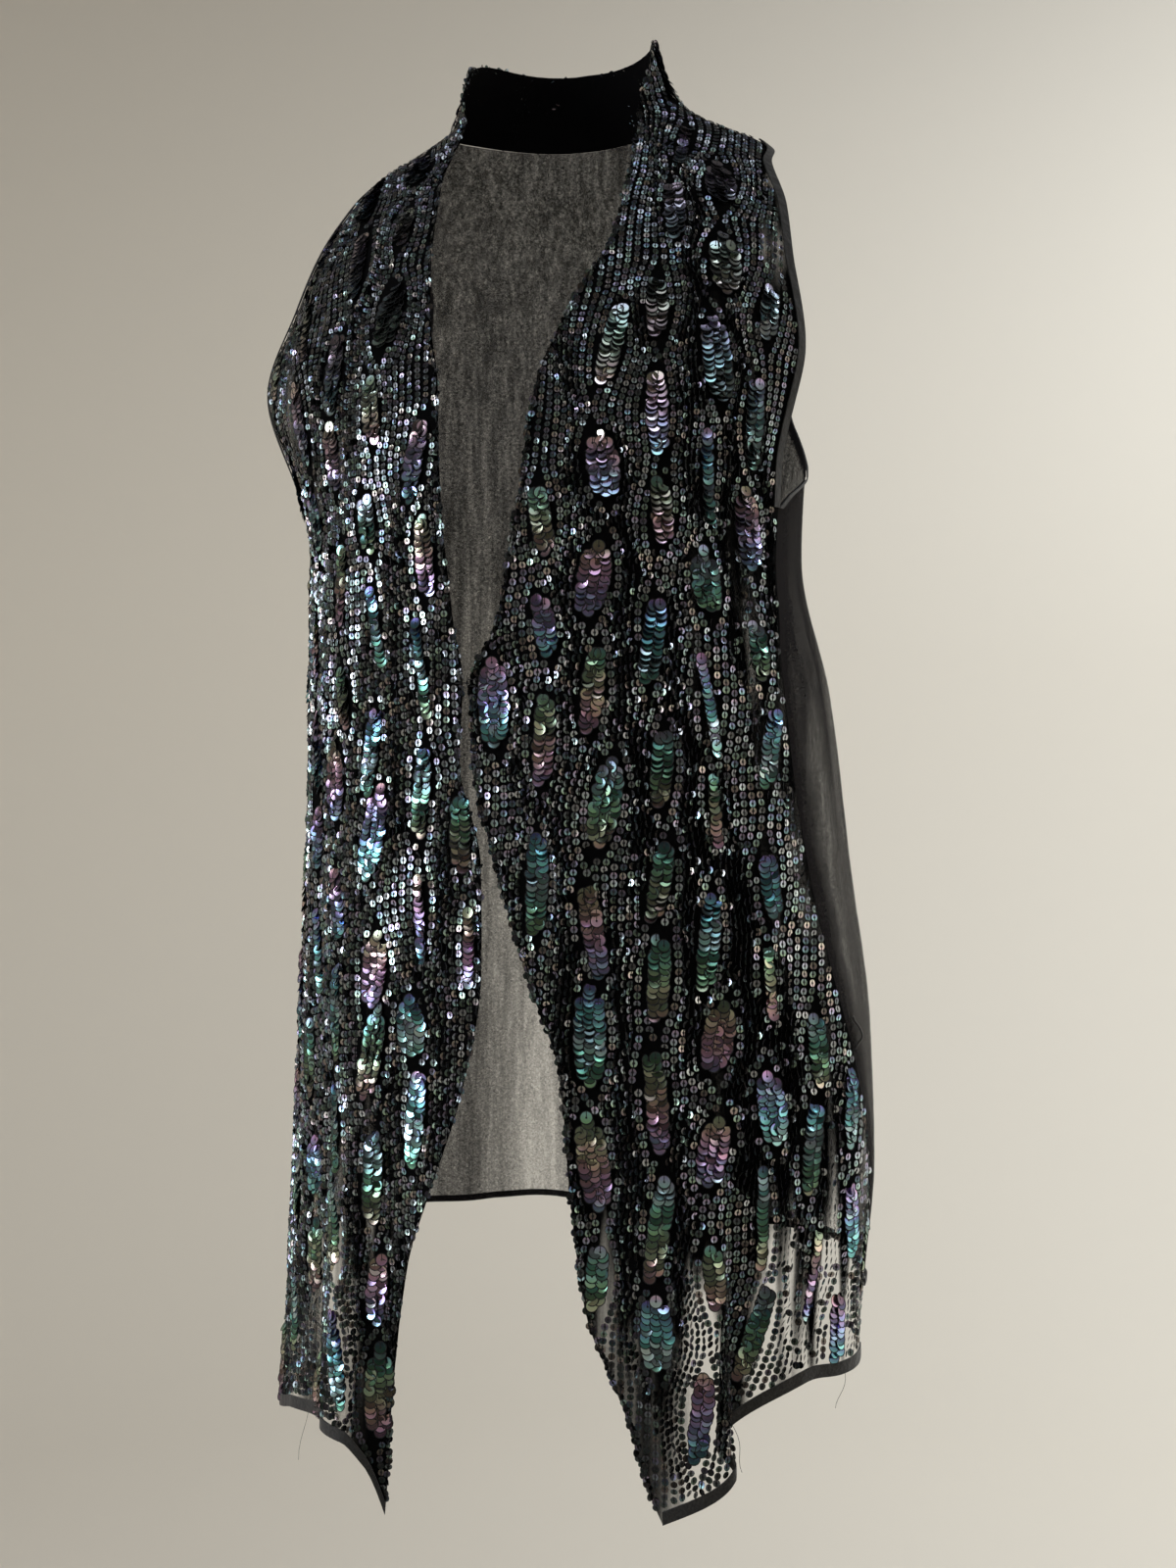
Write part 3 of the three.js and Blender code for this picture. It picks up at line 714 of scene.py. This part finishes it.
class Cloth:
    """One front laid flat, in millimetres: s runs round the body from the front centre, v up the cloth."""

    def __init__(self, side):
        self.sign = SIGN[side]
        points = cloth_point(self.sign * ANGLES[None, :], LEVELS[:, None])
        steps = np.linalg.norm(np.diff(points[..., :2], axis=1), axis=-1)
        arc = np.concatenate([np.zeros((len(LEVELS), 1)), np.cumsum(steps, axis=1)], axis=1)
        self.arc = arc - arc[:, [int(np.argmin(np.abs(ANGLES)))]]
        self.angles = np.stack([np.interp(SPREAD, row, ANGLES) for row in self.arc]) * self.sign
        rise = np.linalg.norm(np.diff(cloth_point(self.sign * SIDE_ANGLE, LEVELS), axis=0), axis=1)
        self.v = np.concatenate([[0], np.cumsum(rise)])
        up, hem = np.linspace(0, CENTRE_BACK, 300), np.linspace(0, 1, 60)
        along = np.concatenate([up, up[::-1], 0 * hem])
        across = np.concatenate([0 * up, 0 * up + 1, hem[::-1]])
        self.outline = np.stack(self.flat(*front_place(side, across, along)), axis=1)

    def flat(self, angle, z):
        """Where places lie on the flat cloth."""
        s = blended(self.arc, (z - LEVELS[0]) / LEVEL_STEP, (angle * self.sign - ANGLES[0]) / ANGLE_STEP)
        return s, np.interp(z, LEVELS, self.v)

    def place(self, s, v):
        """The angle and height of points on the flat cloth."""
        z = np.interp(v, self.v, LEVELS)
        return blended(self.angles, (z - LEVELS[0]) / LEVEL_STEP, s - SPREAD[0]), z

    def inside(self, s, v):
        """Whether points lie within the front's outline, and how far from it they are."""
        a = self.outline
        b = np.roll(a, -1, axis=0)
        s, v = s[:, None], v[:, None]
        crosses = (a[:, 1] > v) != (b[:, 1] > v)
        height = np.where(b[:, 1] == a[:, 1], 1, b[:, 1] - a[:, 1])
        at = a[:, 0] + (v - a[:, 1]) / height * (b[:, 0] - a[:, 0])
        within = (crosses & (s < at)).sum(axis=1) % 2 == 1
        along = b - a
        length = np.maximum((along**2).sum(axis=1), 1e-9)
        t = np.clip(((s - a[:, 0]) * along[:, 0] + (v - a[:, 1]) * along[:, 1]) / length, 0, 1)
        away = np.hypot(s - a[:, 0] - t * along[:, 0], v - a[:, 1] - t * along[:, 1])
        return within, away


def leaves_of(cloth):
    """The leaf shapes of one front: staggered, uneven and kept within the cloth.

    A row for each has its s and v, half its length, its columns of sequins, its slant, how far its sequins
    tip and turn, and how bright it is.
    """
    low, high = cloth.outline.min(axis=0), cloth.outline.max(axis=0)
    rows = []
    for j, s in enumerate(np.arange(low[0] + 9, high[0], LEAF_SPACING)):
        for v in np.arange(low[1] - LEAF_STEP, high[1], LEAF_STEP):
            rows.append(
                (
                    s + rng.uniform(-5, 5),
                    v + (j % 2) * LEAF_STEP / 2 + rng.uniform(-9, 9),
                    rng.uniform(*LEAF_HALF_LENGTH),
                    rng.choice(LEAF_COLUMNS),
                    rng.uniform(-LEAF_SLANT, LEAF_SLANT),
                    rng.uniform(-1, 1),
                    rng.uniform(-1, 1),
                    rng.uniform(0, 1),
                )
            )
    leaves = np.array(rows)
    within, away = cloth.inside(leaves[:, 0], leaves[:, 1])
    return leaves[within & (away.min(axis=1) > LEAF_FROM_EDGE)]


def bent_rows(cloth, leaves):
    """Places along the rows, in order: s, v and how far the rows stand apart there."""
    low, high = cloth.outline.min(axis=0), cloth.outline.max(axis=0)
    v = np.arange(low[1], high[1], 1.0)
    base = np.arange(low[0] - 2 * ROW_PITCH, high[0] + 2 * ROW_PITCH, ROW_PITCH)[:, None]
    k = base / ROW_PITCH
    lanes = base
    for height, length, stagger in ((2.4, 47, 0.33), (1.2, 21, 0.6)):
        lanes = lanes + height * np.sin(v / length + stagger * k)
    for leaf_s, leaf_v, half_length, columns, slant, *_ in leaves:
        up = (v - leaf_v) / (half_length + PUSH_PAST_ENDS)
        away = base - leaf_s - slant * (v - leaf_v)
        push = (LEAF_COLUMN * columns + 0.6) * np.clip(1 - up**2, 0, None)
        lanes = lanes + np.sign(away) * push * np.exp(-((np.abs(away) / PUSH_REACH) ** 1.7))
    apart = np.abs(np.gradient(lanes, axis=0))
    found = []
    for s, room in zip(lanes, apart):
        points = cloth_point(*cloth.place(s, v))
        pitch = np.interp(points[1:, 2], sizes["z"], sizes["pitch"])
        step = np.linalg.norm(np.diff(points, axis=0), axis=1) / pitch
        number = np.concatenate([[0], np.cumsum(step)])
        stations = np.arange(rng.uniform(0, 1), number[-1], 1.0)
        stations = stations + rng.uniform(-0.08, 0.08, len(stations))
        found.append(np.stack([np.interp(stations, number, column) for column in (s, v, room)], axis=1))
    return np.concatenate(found)


def clear_of_leaves(flat, leaves):
    keep = np.ones(len(flat), bool)
    for leaf_s, leaf_v, half_length, columns, slant, *_ in leaves:
        up = (flat[:, 1] - leaf_v) / (half_length + 1.0)
        away = (flat[:, 0] - leaf_s - slant * (flat[:, 1] - leaf_v)) / (LEAF_COLUMN * columns + 2.2)
        keep &= up**2 + away**2 > 1
    return keep


def thinned(points, least):
    """Drops each point that lies nearer than least to one before it."""
    cells = {}
    keep = np.zeros(len(points), bool)
    keys = np.floor(points / least).astype(int)
    for i, (x, y, z) in enumerate(keys):
        near = [
            j
            for dx in (-1, 0, 1)
            for dy in (-1, 0, 1)
            for dz in (-1, 0, 1)
            for j in cells.get((x + dx, y + dy, z + dz), ())
        ]
        if all(((points[i] - points[j]) ** 2).sum() >= least * least for j in near):
            keep[i] = True
            cells.setdefault((x, y, z), []).append(i)
    return keep


def turned(vectors, axis, amount):
    """Vectors turned about axes by amounts in radians."""
    c, s = np.cos(amount)[:, None], np.sin(amount)[:, None]
    along = axis * (axis * vectors).sum(axis=1, keepdims=True)
    return vectors * c + np.cross(axis, vectors) * s + along * (1 - c)


def tilted(normal, up, roll, lean):
    """Sequins' directions after a roll about their row and a lean along it."""
    normal = turned(normal, up, roll)
    across = np.cross(up, normal)
    return turned(normal, across, lean), turned(up, across, lean)


def squared(up, normal):
    """Directions made square to the normals."""
    return unit(up - normal * (up * normal).sum(axis=1, keepdims=True))


def sewn(cloth, flat, out):
    """Where sequins sit on the cloth, with the direction out and the direction up their row."""
    angle, z = cloth.place(flat[:, 0], flat[:, 1])
    ahead = cloth.place(flat[:, 0], flat[:, 1] + 0.5)
    normal = cloth_normal(angle, z)
    point = cloth_point(angle, z)
    up = squared(unit(cloth_point(*ahead) - point), normal)
    return point + normal * out, normal, up


def placed(name, data):
    """An object in the scene, active and selected."""
    piece = bpy.data.objects.new(name, data)
    bpy.context.collection.objects.link(piece)
    bpy.context.view_layer.objects.active = piece
    piece.select_set(True)
    return piece


# How deep a sequin's face is cupped and where its rear lies, as shares of its radius.
CUP = 0.14
REAR = 0.26


def sequin_mesh(name, centre, normal, up, radius, tint, sides):
    """Cupped discs, each two fans that share a rim, joined into one mesh with a disc map and a tint."""
    count = len(centre)
    side = np.cross(up, normal)
    turn = 2 * np.pi * np.arange(sides) / sides
    reach = np.reshape(radius, (-1, 1, 1))
    rim = centre[:, None] + reach * (
        side[:, None] * np.cos(turn)[None, :, None] + up[:, None] * np.sin(turn)[None, :, None]
    )
    cup = centre[:, None] - reach * normal[:, None] * CUP
    rear = centre[:, None] - reach * normal[:, None] * REAR
    points = np.concatenate([rim, cup, rear], axis=1).reshape(-1, 3) * MM
    here, there = np.arange(sides), (np.arange(sides) + 1) % sides
    front = np.stack([np.full(sides, sides), here, there], axis=1)
    behind = np.stack([np.full(sides, sides + 1), there, here], axis=1)
    faces = np.concatenate([front, behind])
    corners = (faces[None] + (np.arange(count) * (sides + 2))[:, None, None]).reshape(-1)
    mesh = bpy.data.meshes.new(name)
    mesh.vertices.add(len(points))
    mesh.vertices.foreach_set("co", points.ravel())
    mesh.loops.add(len(corners))
    mesh.loops.foreach_set("vertex_index", corners)
    mesh.polygons.add(len(corners) // 3)
    mesh.polygons.foreach_set("loop_start", np.arange(0, len(corners), 3))
    mesh.polygons.foreach_set("loop_total", np.full(len(corners) // 3, 3))
    flat_disc = np.concatenate([np.stack([np.cos(turn), np.sin(turn)], 1), [[0, 0], [0, 0]]]) * 0.5 + 0.5
    disc = mesh.uv_layers.new(name="disc")
    disc.data.foreach_set("uv", np.tile(flat_disc[faces.ravel()], (count, 1)).ravel())
    paint = mesh.color_attributes.new("tint", "FLOAT_COLOR", "POINT")
    rgba = np.concatenate([tint, np.ones((count, 1))], axis=1)
    paint.data.foreach_set("color", np.repeat(rgba, sides + 2, axis=0).ravel())
    mesh.update()
    mesh.validate()
    piece = placed(name, mesh)
    bpy.ops.object.shade_smooth_by_angle(angle=math.radians(40))
    bpy.ops.object.select_all(action="DESELECT")
    return piece


def film(name, roughness, hole_radius, thread_width, rim_shadow_from, thread_both_ways):
    """Black plastic film with an interference coat: a dark mirror whose tint shifts across each disc, with a
    painted shadow in a ring round its edge.
    """
    material, tree, shader = new_material(name)
    disc = add(tree, "ShaderNodeUVMap", {"uv_map": "disc"}).outputs[0]
    about_hole = {0: disc, 1: (0.5, 0.5, 0.0)}
    centred = add(tree, "ShaderNodeVectorMath", {"operation": "SUBTRACT"}, about_hole).outputs[0]
    axes = add(tree, "ShaderNodeSeparateXYZ", links={0: centred}).outputs
    wide = add(tree, MATHS, {"operation": "ABSOLUTE"}, {0: axes["X"]}).outputs[0]
    out = add(tree, "ShaderNodeVectorMath", {"operation": "LENGTH"}, {0: centred}).outputs["Value"]
    hole = add(tree, MATHS, {"operation": "LESS_THAN"}, {0: out, 1: hole_radius}).outputs[0]
    # Painted shadow: a dark ring round each disc's edge, the shadow where it meets the sequins beside it.
    rim = add(tree, MATHS, {"operation": "GREATER_THAN"}, {0: out, 1: rim_shadow_from}).outputs[0]
    stitch = add(tree, MATHS, {"operation": "LESS_THAN"}, {0: wide, 1: thread_width}).outputs[0]
    if not thread_both_ways:
        upper = add(tree, MATHS, {"operation": "GREATER_THAN"}, {0: axes["Y"], 1: 0.0}).outputs[0]
        stitch = add(tree, MATHS, {"operation": "MULTIPLY"}, {0: stitch, 1: upper}).outputs[0]
    sewn_part = add(tree, MATHS, {"operation": "MAXIMUM"}, {0: hole, 1: stitch}).outputs[0]
    dark = add(tree, MATHS, {"operation": "MAXIMUM"}, {0: sewn_part, 1: rim}).outputs[0]
    tint = add(tree, "ShaderNodeVertexColor", {"layer_name": "tint"}).outputs[0]
    shift = {0: axes["Y"], 1: 0.22, 2: 0.5}
    hue = add(tree, MATHS, {"operation": "MULTIPLY_ADD"}, shift).outputs[0]
    shifted = add(tree, "ShaderNodeHueSaturation", links={"Color": tint, "Hue": hue}).outputs[0]
    colours = {"Factor": dark, FIRST_COLOUR: shifted, SECOND_COLOUR: colour("#050505")}
    base = add(tree, MIX, {"data_type": "RGBA"}, colours).outputs[2]
    tree.links.new(base, shader.inputs["Base Color"])
    for quality, change, start in (("Metallic", -0.95, 0.95), ("Roughness", 0.5, roughness)):
        amounts = {0: dark, 1: change, 2: start}
        value = add(tree, MATHS, {"operation": "MULTIPLY_ADD"}, amounts).outputs[0]
        tree.links.new(value, shader.inputs[quality])
    return material


def linear_tints(hex_codes):
    return np.array([colour(code)[:3] for code in hex_codes.split()])


SMALL_TINTS = linear_tints("#b8c6cb #a6c0c0 #b2bcc8 #bfc4c8 #9bb6cc #b3aecb #a8c4b8 #c6bcb6")
SMALL_SIDES = 10
ROW_OUT = 0.75
CLEAR_OF_EDGING = 1.2


def small_tints(count, darkest, brightest):
    """A tint for each small sequin. The brightness is in powers of ten."""
    tint = SMALL_TINTS[rng.integers(0, len(SMALL_TINTS), count)]
    return tint * 10 ** rng.uniform(darkest, brightest, (count, 1))


small_film = film("black sequin film, small", 0.26, 0.18, 0.08, 0.455, True)
cloths = {side: Cloth(side) for side in ("left", "right")}
leaves = {side: leaves_of(cloths[side]) for side in ("left", "right")}
MARGIN = 1.6
for side in ("left", "right"):
    cloth = cloths[side]
    rows = bent_rows(cloth, leaves[side])
    low, high = cloth.outline.min(axis=0), cloth.outline.max(axis=0)
    extra = np.concatenate([rng.uniform(low, high, (FILLERS, 2)), np.full((FILLERS, 1), -1.0)], axis=1)
    flat = np.concatenate([rows, extra])
    within, away = cloth.inside(flat[:, 0], flat[:, 1])
    flat = flat[within & (away.min(axis=1) > MARGIN)]
    angle, z = cloth.place(flat[:, 0], flat[:, 1])
    hem_angle, hem_z = front_place(side, np.linspace(0, 1, 120), np.zeros(120))
    order = np.argsort(hem_angle)
    above_hem = z - np.interp(angle, hem_angle[order], hem_z[order])
    armhole_along = np.linspace(UNDERARM, SHOULDER_TIP, 90)
    armhole_angle, armhole_z = front_place(side, np.ones(90), armhole_along)
    armhole_s, armhole_v = cloth.flat(armhole_angle, armhole_z)
    to_armhole = np.hypot(flat[:, [0]] - armhole_s, flat[:, [1]] - armhole_v).min(axis=1)
    flat = flat[(above_hem > HEM_BAND + CLEAR_OF_EDGING) & (to_armhole > BINDING + CLEAR_OF_EDGING)]
    flat = flat[clear_of_leaves(flat, leaves[side])]
    centre, normal, up = sewn(cloth, flat, ROW_OUT)
    filler = flat[:, 2] < 0
    keep = thinned(centre, LEAST_APART) & ~filler
    in_rows, loose = np.flatnonzero(keep), np.flatnonzero(filler)
    spaced = thinned(centre[np.concatenate([in_rows, loose])], FILLER_APART)[len(in_rows) :]
    keep[loose] = spaced & (centre[loose, 2] > FILLERS_ABOVE)
    centre, normal, up, room = centre[keep], normal[keep], up[keep], flat[keep, 2]
    count = len(centre)
    radius = np.interp(centre[:, 2], sizes["z"], sizes["radius"]) * rng.uniform(0.93, 1.05, count)
    # A sequin wider than the room between two rows turns about its row until it fits.
    room = np.where(room < 0, rng.uniform(0.6, 1, count), room / (2 * radius + ROOM_TO_SPARE))
    crowded = np.minimum(np.arccos(np.clip(room, 0, 1)), MOST_TURNED)
    either_way = np.where(rng.random(count) < TURNED_ONE_WAY, 1, -1)
    roll = crowded * either_way + np.radians(rng.normal(0, 9, count))
    normal, up = tilted(normal, up, roll, np.radians(rng.normal(3, 9, count)))
    tint = small_tints(count, -0.6, 0.2)
    # Painted shade: the tint is darker towards the hem, where the sequins are seen against the light, darker
    # on the chest, and a little brighter between.
    tint *= np.interp(centre[:, [2]], (-720, -620, -300, -180), (0.3, 1.15, 1.15, 0.65))
    piece = sequin_mesh(f"row_sequins_{side}", centre, normal, up, radius, tint, SMALL_SIDES)
    piece.data.materials.append(small_film)
    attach(piece, "root")


# The edge sequins
#
# More of the small sequins are sewn close together over the front edge, the neckline and the stand's top,
# and lie at all angles, which gives these edges their uneven bumps.
EDGE_PITCH = 2.9
EDGE_RADIUS = 2.1
for side in ("left", "right"):
    along = np.linspace(0.15, CENTRE_BACK - 0.05, 1500)
    angle, z = front_place(side, 0 * along, along)
    edge = cloth_point(angle, z)
    length = np.concatenate([[0], np.cumsum(np.linalg.norm(np.diff(edge, axis=0), axis=1))])
    stations = np.arange(1, length[-1] - 1, EDGE_PITCH)
    stations = stations + rng.uniform(-0.8, 0.8, len(stations))
    along = np.interp(stations, length, along)
    count = len(along)
    angle, z = front_place(side, 0 * along, along)
    ahead = cloth_point(*front_place(side, 0 * along, along + 0.01))
    within = cloth_point(*front_place(side, 0 * along + 0.02, along))
    point = cloth_point(angle, z)
    normal = cloth_normal(angle, z)
    up = squared(unit(ahead - point), normal)
    inward = unit(within - point)
    seat = rng.uniform(-0.2, 2.0, (count, 1))
    centre = point + inward * seat + normal * rng.uniform(0.6, 1.3, (count, 1))
    roll = np.radians(SIGN[side] * rng.uniform(-10, 75, count))
    normal, up = tilted(normal, up, roll, np.radians(rng.normal(0, 16, count)))
    tint = small_tints(count, -1.1, -0.1)
    radius = np.full(count, EDGE_RADIUS)
    piece = sequin_mesh(f"edge_sequins_{side}", centre, normal, up, radius, tint, SMALL_SIDES)
    piece.data.materials.append(small_film)
    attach(piece, "root")


# The leaf shapes
#
# Larger sequins of the same film, sewn one over the next like roof tiles in one to three columns. Each
# is held by a single stitch from its hole to its upper edge, so its lower edge stands off.
SCALE_RADIUS = 3.7
SCALE_PITCH = 3.1
SCALE_COLUMN = 5.5
SCALE_SIDES = 14
SCALE_OUT = 1.25
SCALE_FROM_EDGE = 1.5
SCALE_LEAN = 12
TINT_STEP = 11.0
SCALE_TINTS = linear_tints("#74b0c6 #86a8da #9d9bd6 #bda0d2 #d0a6bc #bfae9c #a3b39a #8ab8a4 #74b8b8 #a8b4c6")
scale_film = film("black sequin film, large", 0.22, 0.08, 0.03, 0.42, False)
for side in ("left", "right"):
    cloth = cloths[side]
    rows = []
    for leaf_s, leaf_v, half_length, columns, slant, tip, yaw, shade in leaves[side]:
        first = rng.uniform(10, 20)
        for c in range(int(columns)):
            beside = (c - (columns - 1) / 2) * SCALE_COLUMN
            reach = half_length * (1 - 0.28 * abs(beside / SCALE_COLUMN) ** 1.3) - (c % 2) * 2
            steps = np.arange(-reach + 2, reach - 2, SCALE_PITCH) + (c % 2) * SCALE_PITCH / 2
            for step in steps:
                # The columns draw together towards the leaf's ends.
                narrowing = 1 - 0.75 * (step / half_length) ** 2
                rows.append(
                    (
                        leaf_s + beside * narrowing + slant * step + rng.normal(0, 0.35),
                        leaf_v + step + rng.normal(0, 0.3),
                        tip,
                        yaw,
                        shade,
                        first + step / TINT_STEP + rng.normal(0, 0.35),
                    )
                )
    scales = np.array(rows)
    within, away = cloth.inside(scales[:, 0], scales[:, 1])
    scales = scales[within & (away.min(axis=1) > SCALE_FROM_EDGE)]
    centre, normal, up = sewn(cloth, scales, SCALE_OUT)
    count = len(centre)
    tip, yaw, shade, film_colour = scales[:, 2], scales[:, 3], scales[:, [4]], scales[:, 5]
    roll = np.radians(yaw * 9 + rng.normal(0, 8, count))
    normal, up = tilted(normal, up, roll, -np.radians(SCALE_LEAN + tip * 6 + rng.normal(0, 8, count)))
    bright = 10 ** rng.uniform(-0.6, 0.27, (count, 1)) * (0.65 + 0.75 * shade)
    # The tint runs on from one disc to the next, through the film's colours in order.
    number, share = film_colour.astype(int), film_colour[:, None] % 1
    before, after = (SCALE_TINTS[(number + k) % len(SCALE_TINTS)] for k in (0, 1))
    tint = before * (1 - share) + after * share
    # On the chest the film looks nearly without colour.
    coloured = np.interp(centre[:, [2]], (-280, -120), (1, 0.35))
    tint = (tint * coloured + tint.mean(axis=1, keepdims=True) * (1 - coloured)) * bright
    radius = np.full(count, SCALE_RADIUS)
    piece = sequin_mesh(f"leaf_sequins_{side}", centre, normal, up, radius, tint, SCALE_SIDES)
    piece.data.materials.append(scale_film)
    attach(piece, "root")


# Loose threads
#
# Three ends of the black sewing thread hang from the hems, two from the left one and a long one from the
# right one near its side seam.
THREAD_RADIUS = 0.13
thread_ends = table(
    "right across length sway curl",
    (0, 0.815, 20, -3.5, 1.5),
    (0, 0.43, 24, 8, 2),
    (1, 0.97, 52, -5, 2.5),
)
thread_fibre, _, thread_shader = new_material("black sewing thread, matt")
thread_shader.inputs["Base Color"].default_value = colour("#2a2a2b")
thread_shader.inputs["Roughness"].default_value = 0.8
for number, (right, across, length, sway, curl) in enumerate(zip(*thread_ends.values())):
    side = "right" if right else "left"
    angle, z = front_place(side, np.array([across]), np.array([0.0]))
    start = (cloth_point(angle, z) + cloth_normal(angle, z) * CLOTH_OUT)[0]
    down = np.linspace(0, 1, 9)
    drift = sway * down + curl * np.sin(down * 5)
    path = start + np.stack([drift, -1.5 * np.sin(down * 3), 2 - (length + 2) * down], axis=1)
    strand = bpy.data.curves.new(f"loose_thread_{number}", "CURVE")
    strand.dimensions = "3D"
    strand.bevel_depth = THREAD_RADIUS * MM
    strand.bevel_resolution = 1
    spline = strand.splines.new("POLY")
    spline.points.add(len(path) - 1)
    spline.points.foreach_set("co", np.concatenate([path * MM, np.ones((len(path), 1))], axis=1).ravel())
    thread = placed(f"loose_thread_{number}", strand)
    bpy.ops.object.convert(target="MESH")
    bpy.ops.object.select_all(action="DESELECT")
    thread.data.materials.append(thread_fibre)
    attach(thread, "root")


# Studio
#
# A pale bowl without corners, a large soft light from the left as through a window, a weak fill and the
# light that a pale wall sends back from the right.
FLOOR = -1.5
BOWL_RADIUS = 3.2
BOWL_FILLET = 1.4
BOWL_HEIGHT = 3.5
profile = [(0.0, FLOOR)]
for i in range(13):
    turn = math.radians(7.5 * i)
    out = BOWL_RADIUS - BOWL_FILLET + BOWL_FILLET * math.sin(turn)
    profile.append((out, FLOOR + BOWL_FILLET * (1 - math.cos(turn))))
profile.append((BOWL_RADIUS, BOWL_HEIGHT))
bowl_mesh = bpy.data.meshes.new("studio_bowl")
bowl_mesh.from_pydata([(x, 0, z) for x, z in profile], [(i, i + 1) for i in range(len(profile) - 1)], [])
bowl = placed("studio_bowl", bowl_mesh)
spin = bowl.modifiers.new("spin", "SCREW")
spin.steps = spin.render_steps = 96
spin.use_merge_vertices = True
bpy.ops.object.modifier_apply(modifier=spin.name)
bpy.ops.object.shade_smooth()
bpy.ops.object.select_all(action="DESELECT")
wall_paint, wall_tree, wall_shader = new_material("matt wall paint, warm grey")
wall_place = add(wall_tree, "ShaderNodeTexCoord").outputs["Object"]
wall_depth = add(wall_tree, "ShaderNodeSeparateXYZ", links={0: wall_place}).outputs["Y"]
# Painted shade: the bowl's paint is darker towards the camera's side, for a dimmer room behind the camera
# that the sequins reflect.
behind_camera = {"Value": wall_depth, "From Min": -1.4, "From Max": 0.4, "To Min": 0.0, "To Max": 1.0}
share = add(wall_tree, "ShaderNodeMapRange", {"interpolation_type": "SMOOTHSTEP"}, behind_camera).outputs[0]
paint = {"Factor": share, FIRST_COLOUR: colour("#a9a398"), SECOND_COLOUR: colour("#d2cabc")}
wall_colour = add(wall_tree, MIX, {"data_type": "RGBA"}, paint).outputs[2]
wall_tree.links.new(wall_colour, wall_shader.inputs["Base Color"])
wall_shader.inputs["Roughness"].default_value = 0.9
bowl.data.materials.append(wall_paint)


def area_light(name, place, target, size, power, hex_code):
    data = bpy.data.lights.new(name, "AREA")
    data.shape = "RECTANGLE"
    data.size, data.size_y = size
    data.energy = power
    data.color = colour(hex_code)[:3]
    light = bpy.data.objects.new(name, data)
    light.location = place
    direction = np.array(target, float) - np.array(place, float)
    light.rotation_euler = (
        math.atan2(math.hypot(direction[0], direction[1]), -direction[2]),
        0,
        math.atan2(direction[1], direction[0]) - math.pi / 2,
    )
    light.visible_camera = False
    bpy.context.collection.objects.link(light)
    return light


area_light("window", (-2.0, -1.5, -0.1), (0, 0, -0.5), (1.0, 1.7), 34, "#f6f9ff")
area_light("fill", (0.6, -1.2, 2.6), (0, 0.2, -0.4), (2.0, 2.0), 18, "#f2f6ff")
area_light("bounce", (2.4, -0.1, -0.4), (0, 0, -0.4), (2.2, 2.2), 6, "#fff6ea")
area_light("wall_wash", (1.3, 0.8, 1.1), (1.4, 3.0, -0.7), (1.2, 1.2), 78, "#ecf5ff")
world = bpy.data.worlds.new("studio")
world.use_nodes = True
world.node_tree.nodes["Background"].inputs["Color"].default_value = colour("#d9d9dc")
world.node_tree.nodes["Background"].inputs["Strength"].default_value = 0.16
bpy.context.scene.world = world
bpy.context.scene.view_settings.view_transform = "Standard"

CAMERA_TURN = math.radians(16)
CAMERA_DISTANCE = 0.95
CAMERA_HEIGHT = -0.402
# The picture's height, the focal length and the sideways shift in pixels, and the sensor in millimetres.
PICTURE_HEIGHT = 1600
FOCAL_LENGTH = 1586
SIDE_SHIFT = 24
SENSOR = 36
camera_data = bpy.data.cameras.new("camera")
camera_data.sensor_width = SENSOR
camera_data.lens = FOCAL_LENGTH * SENSOR / PICTURE_HEIGHT
camera_data.shift_x = SIDE_SHIFT / PICTURE_HEIGHT
camera = bpy.data.objects.new("camera", camera_data)
camera.location = (
    CAMERA_DISTANCE * math.sin(CAMERA_TURN),
    -CAMERA_DISTANCE * math.cos(CAMERA_TURN),
    CAMERA_HEIGHT,
)
camera.rotation_euler = (math.pi / 2, 0, CAMERA_TURN)
bpy.context.collection.objects.link(camera)
bpy.context.scene.camera = camera
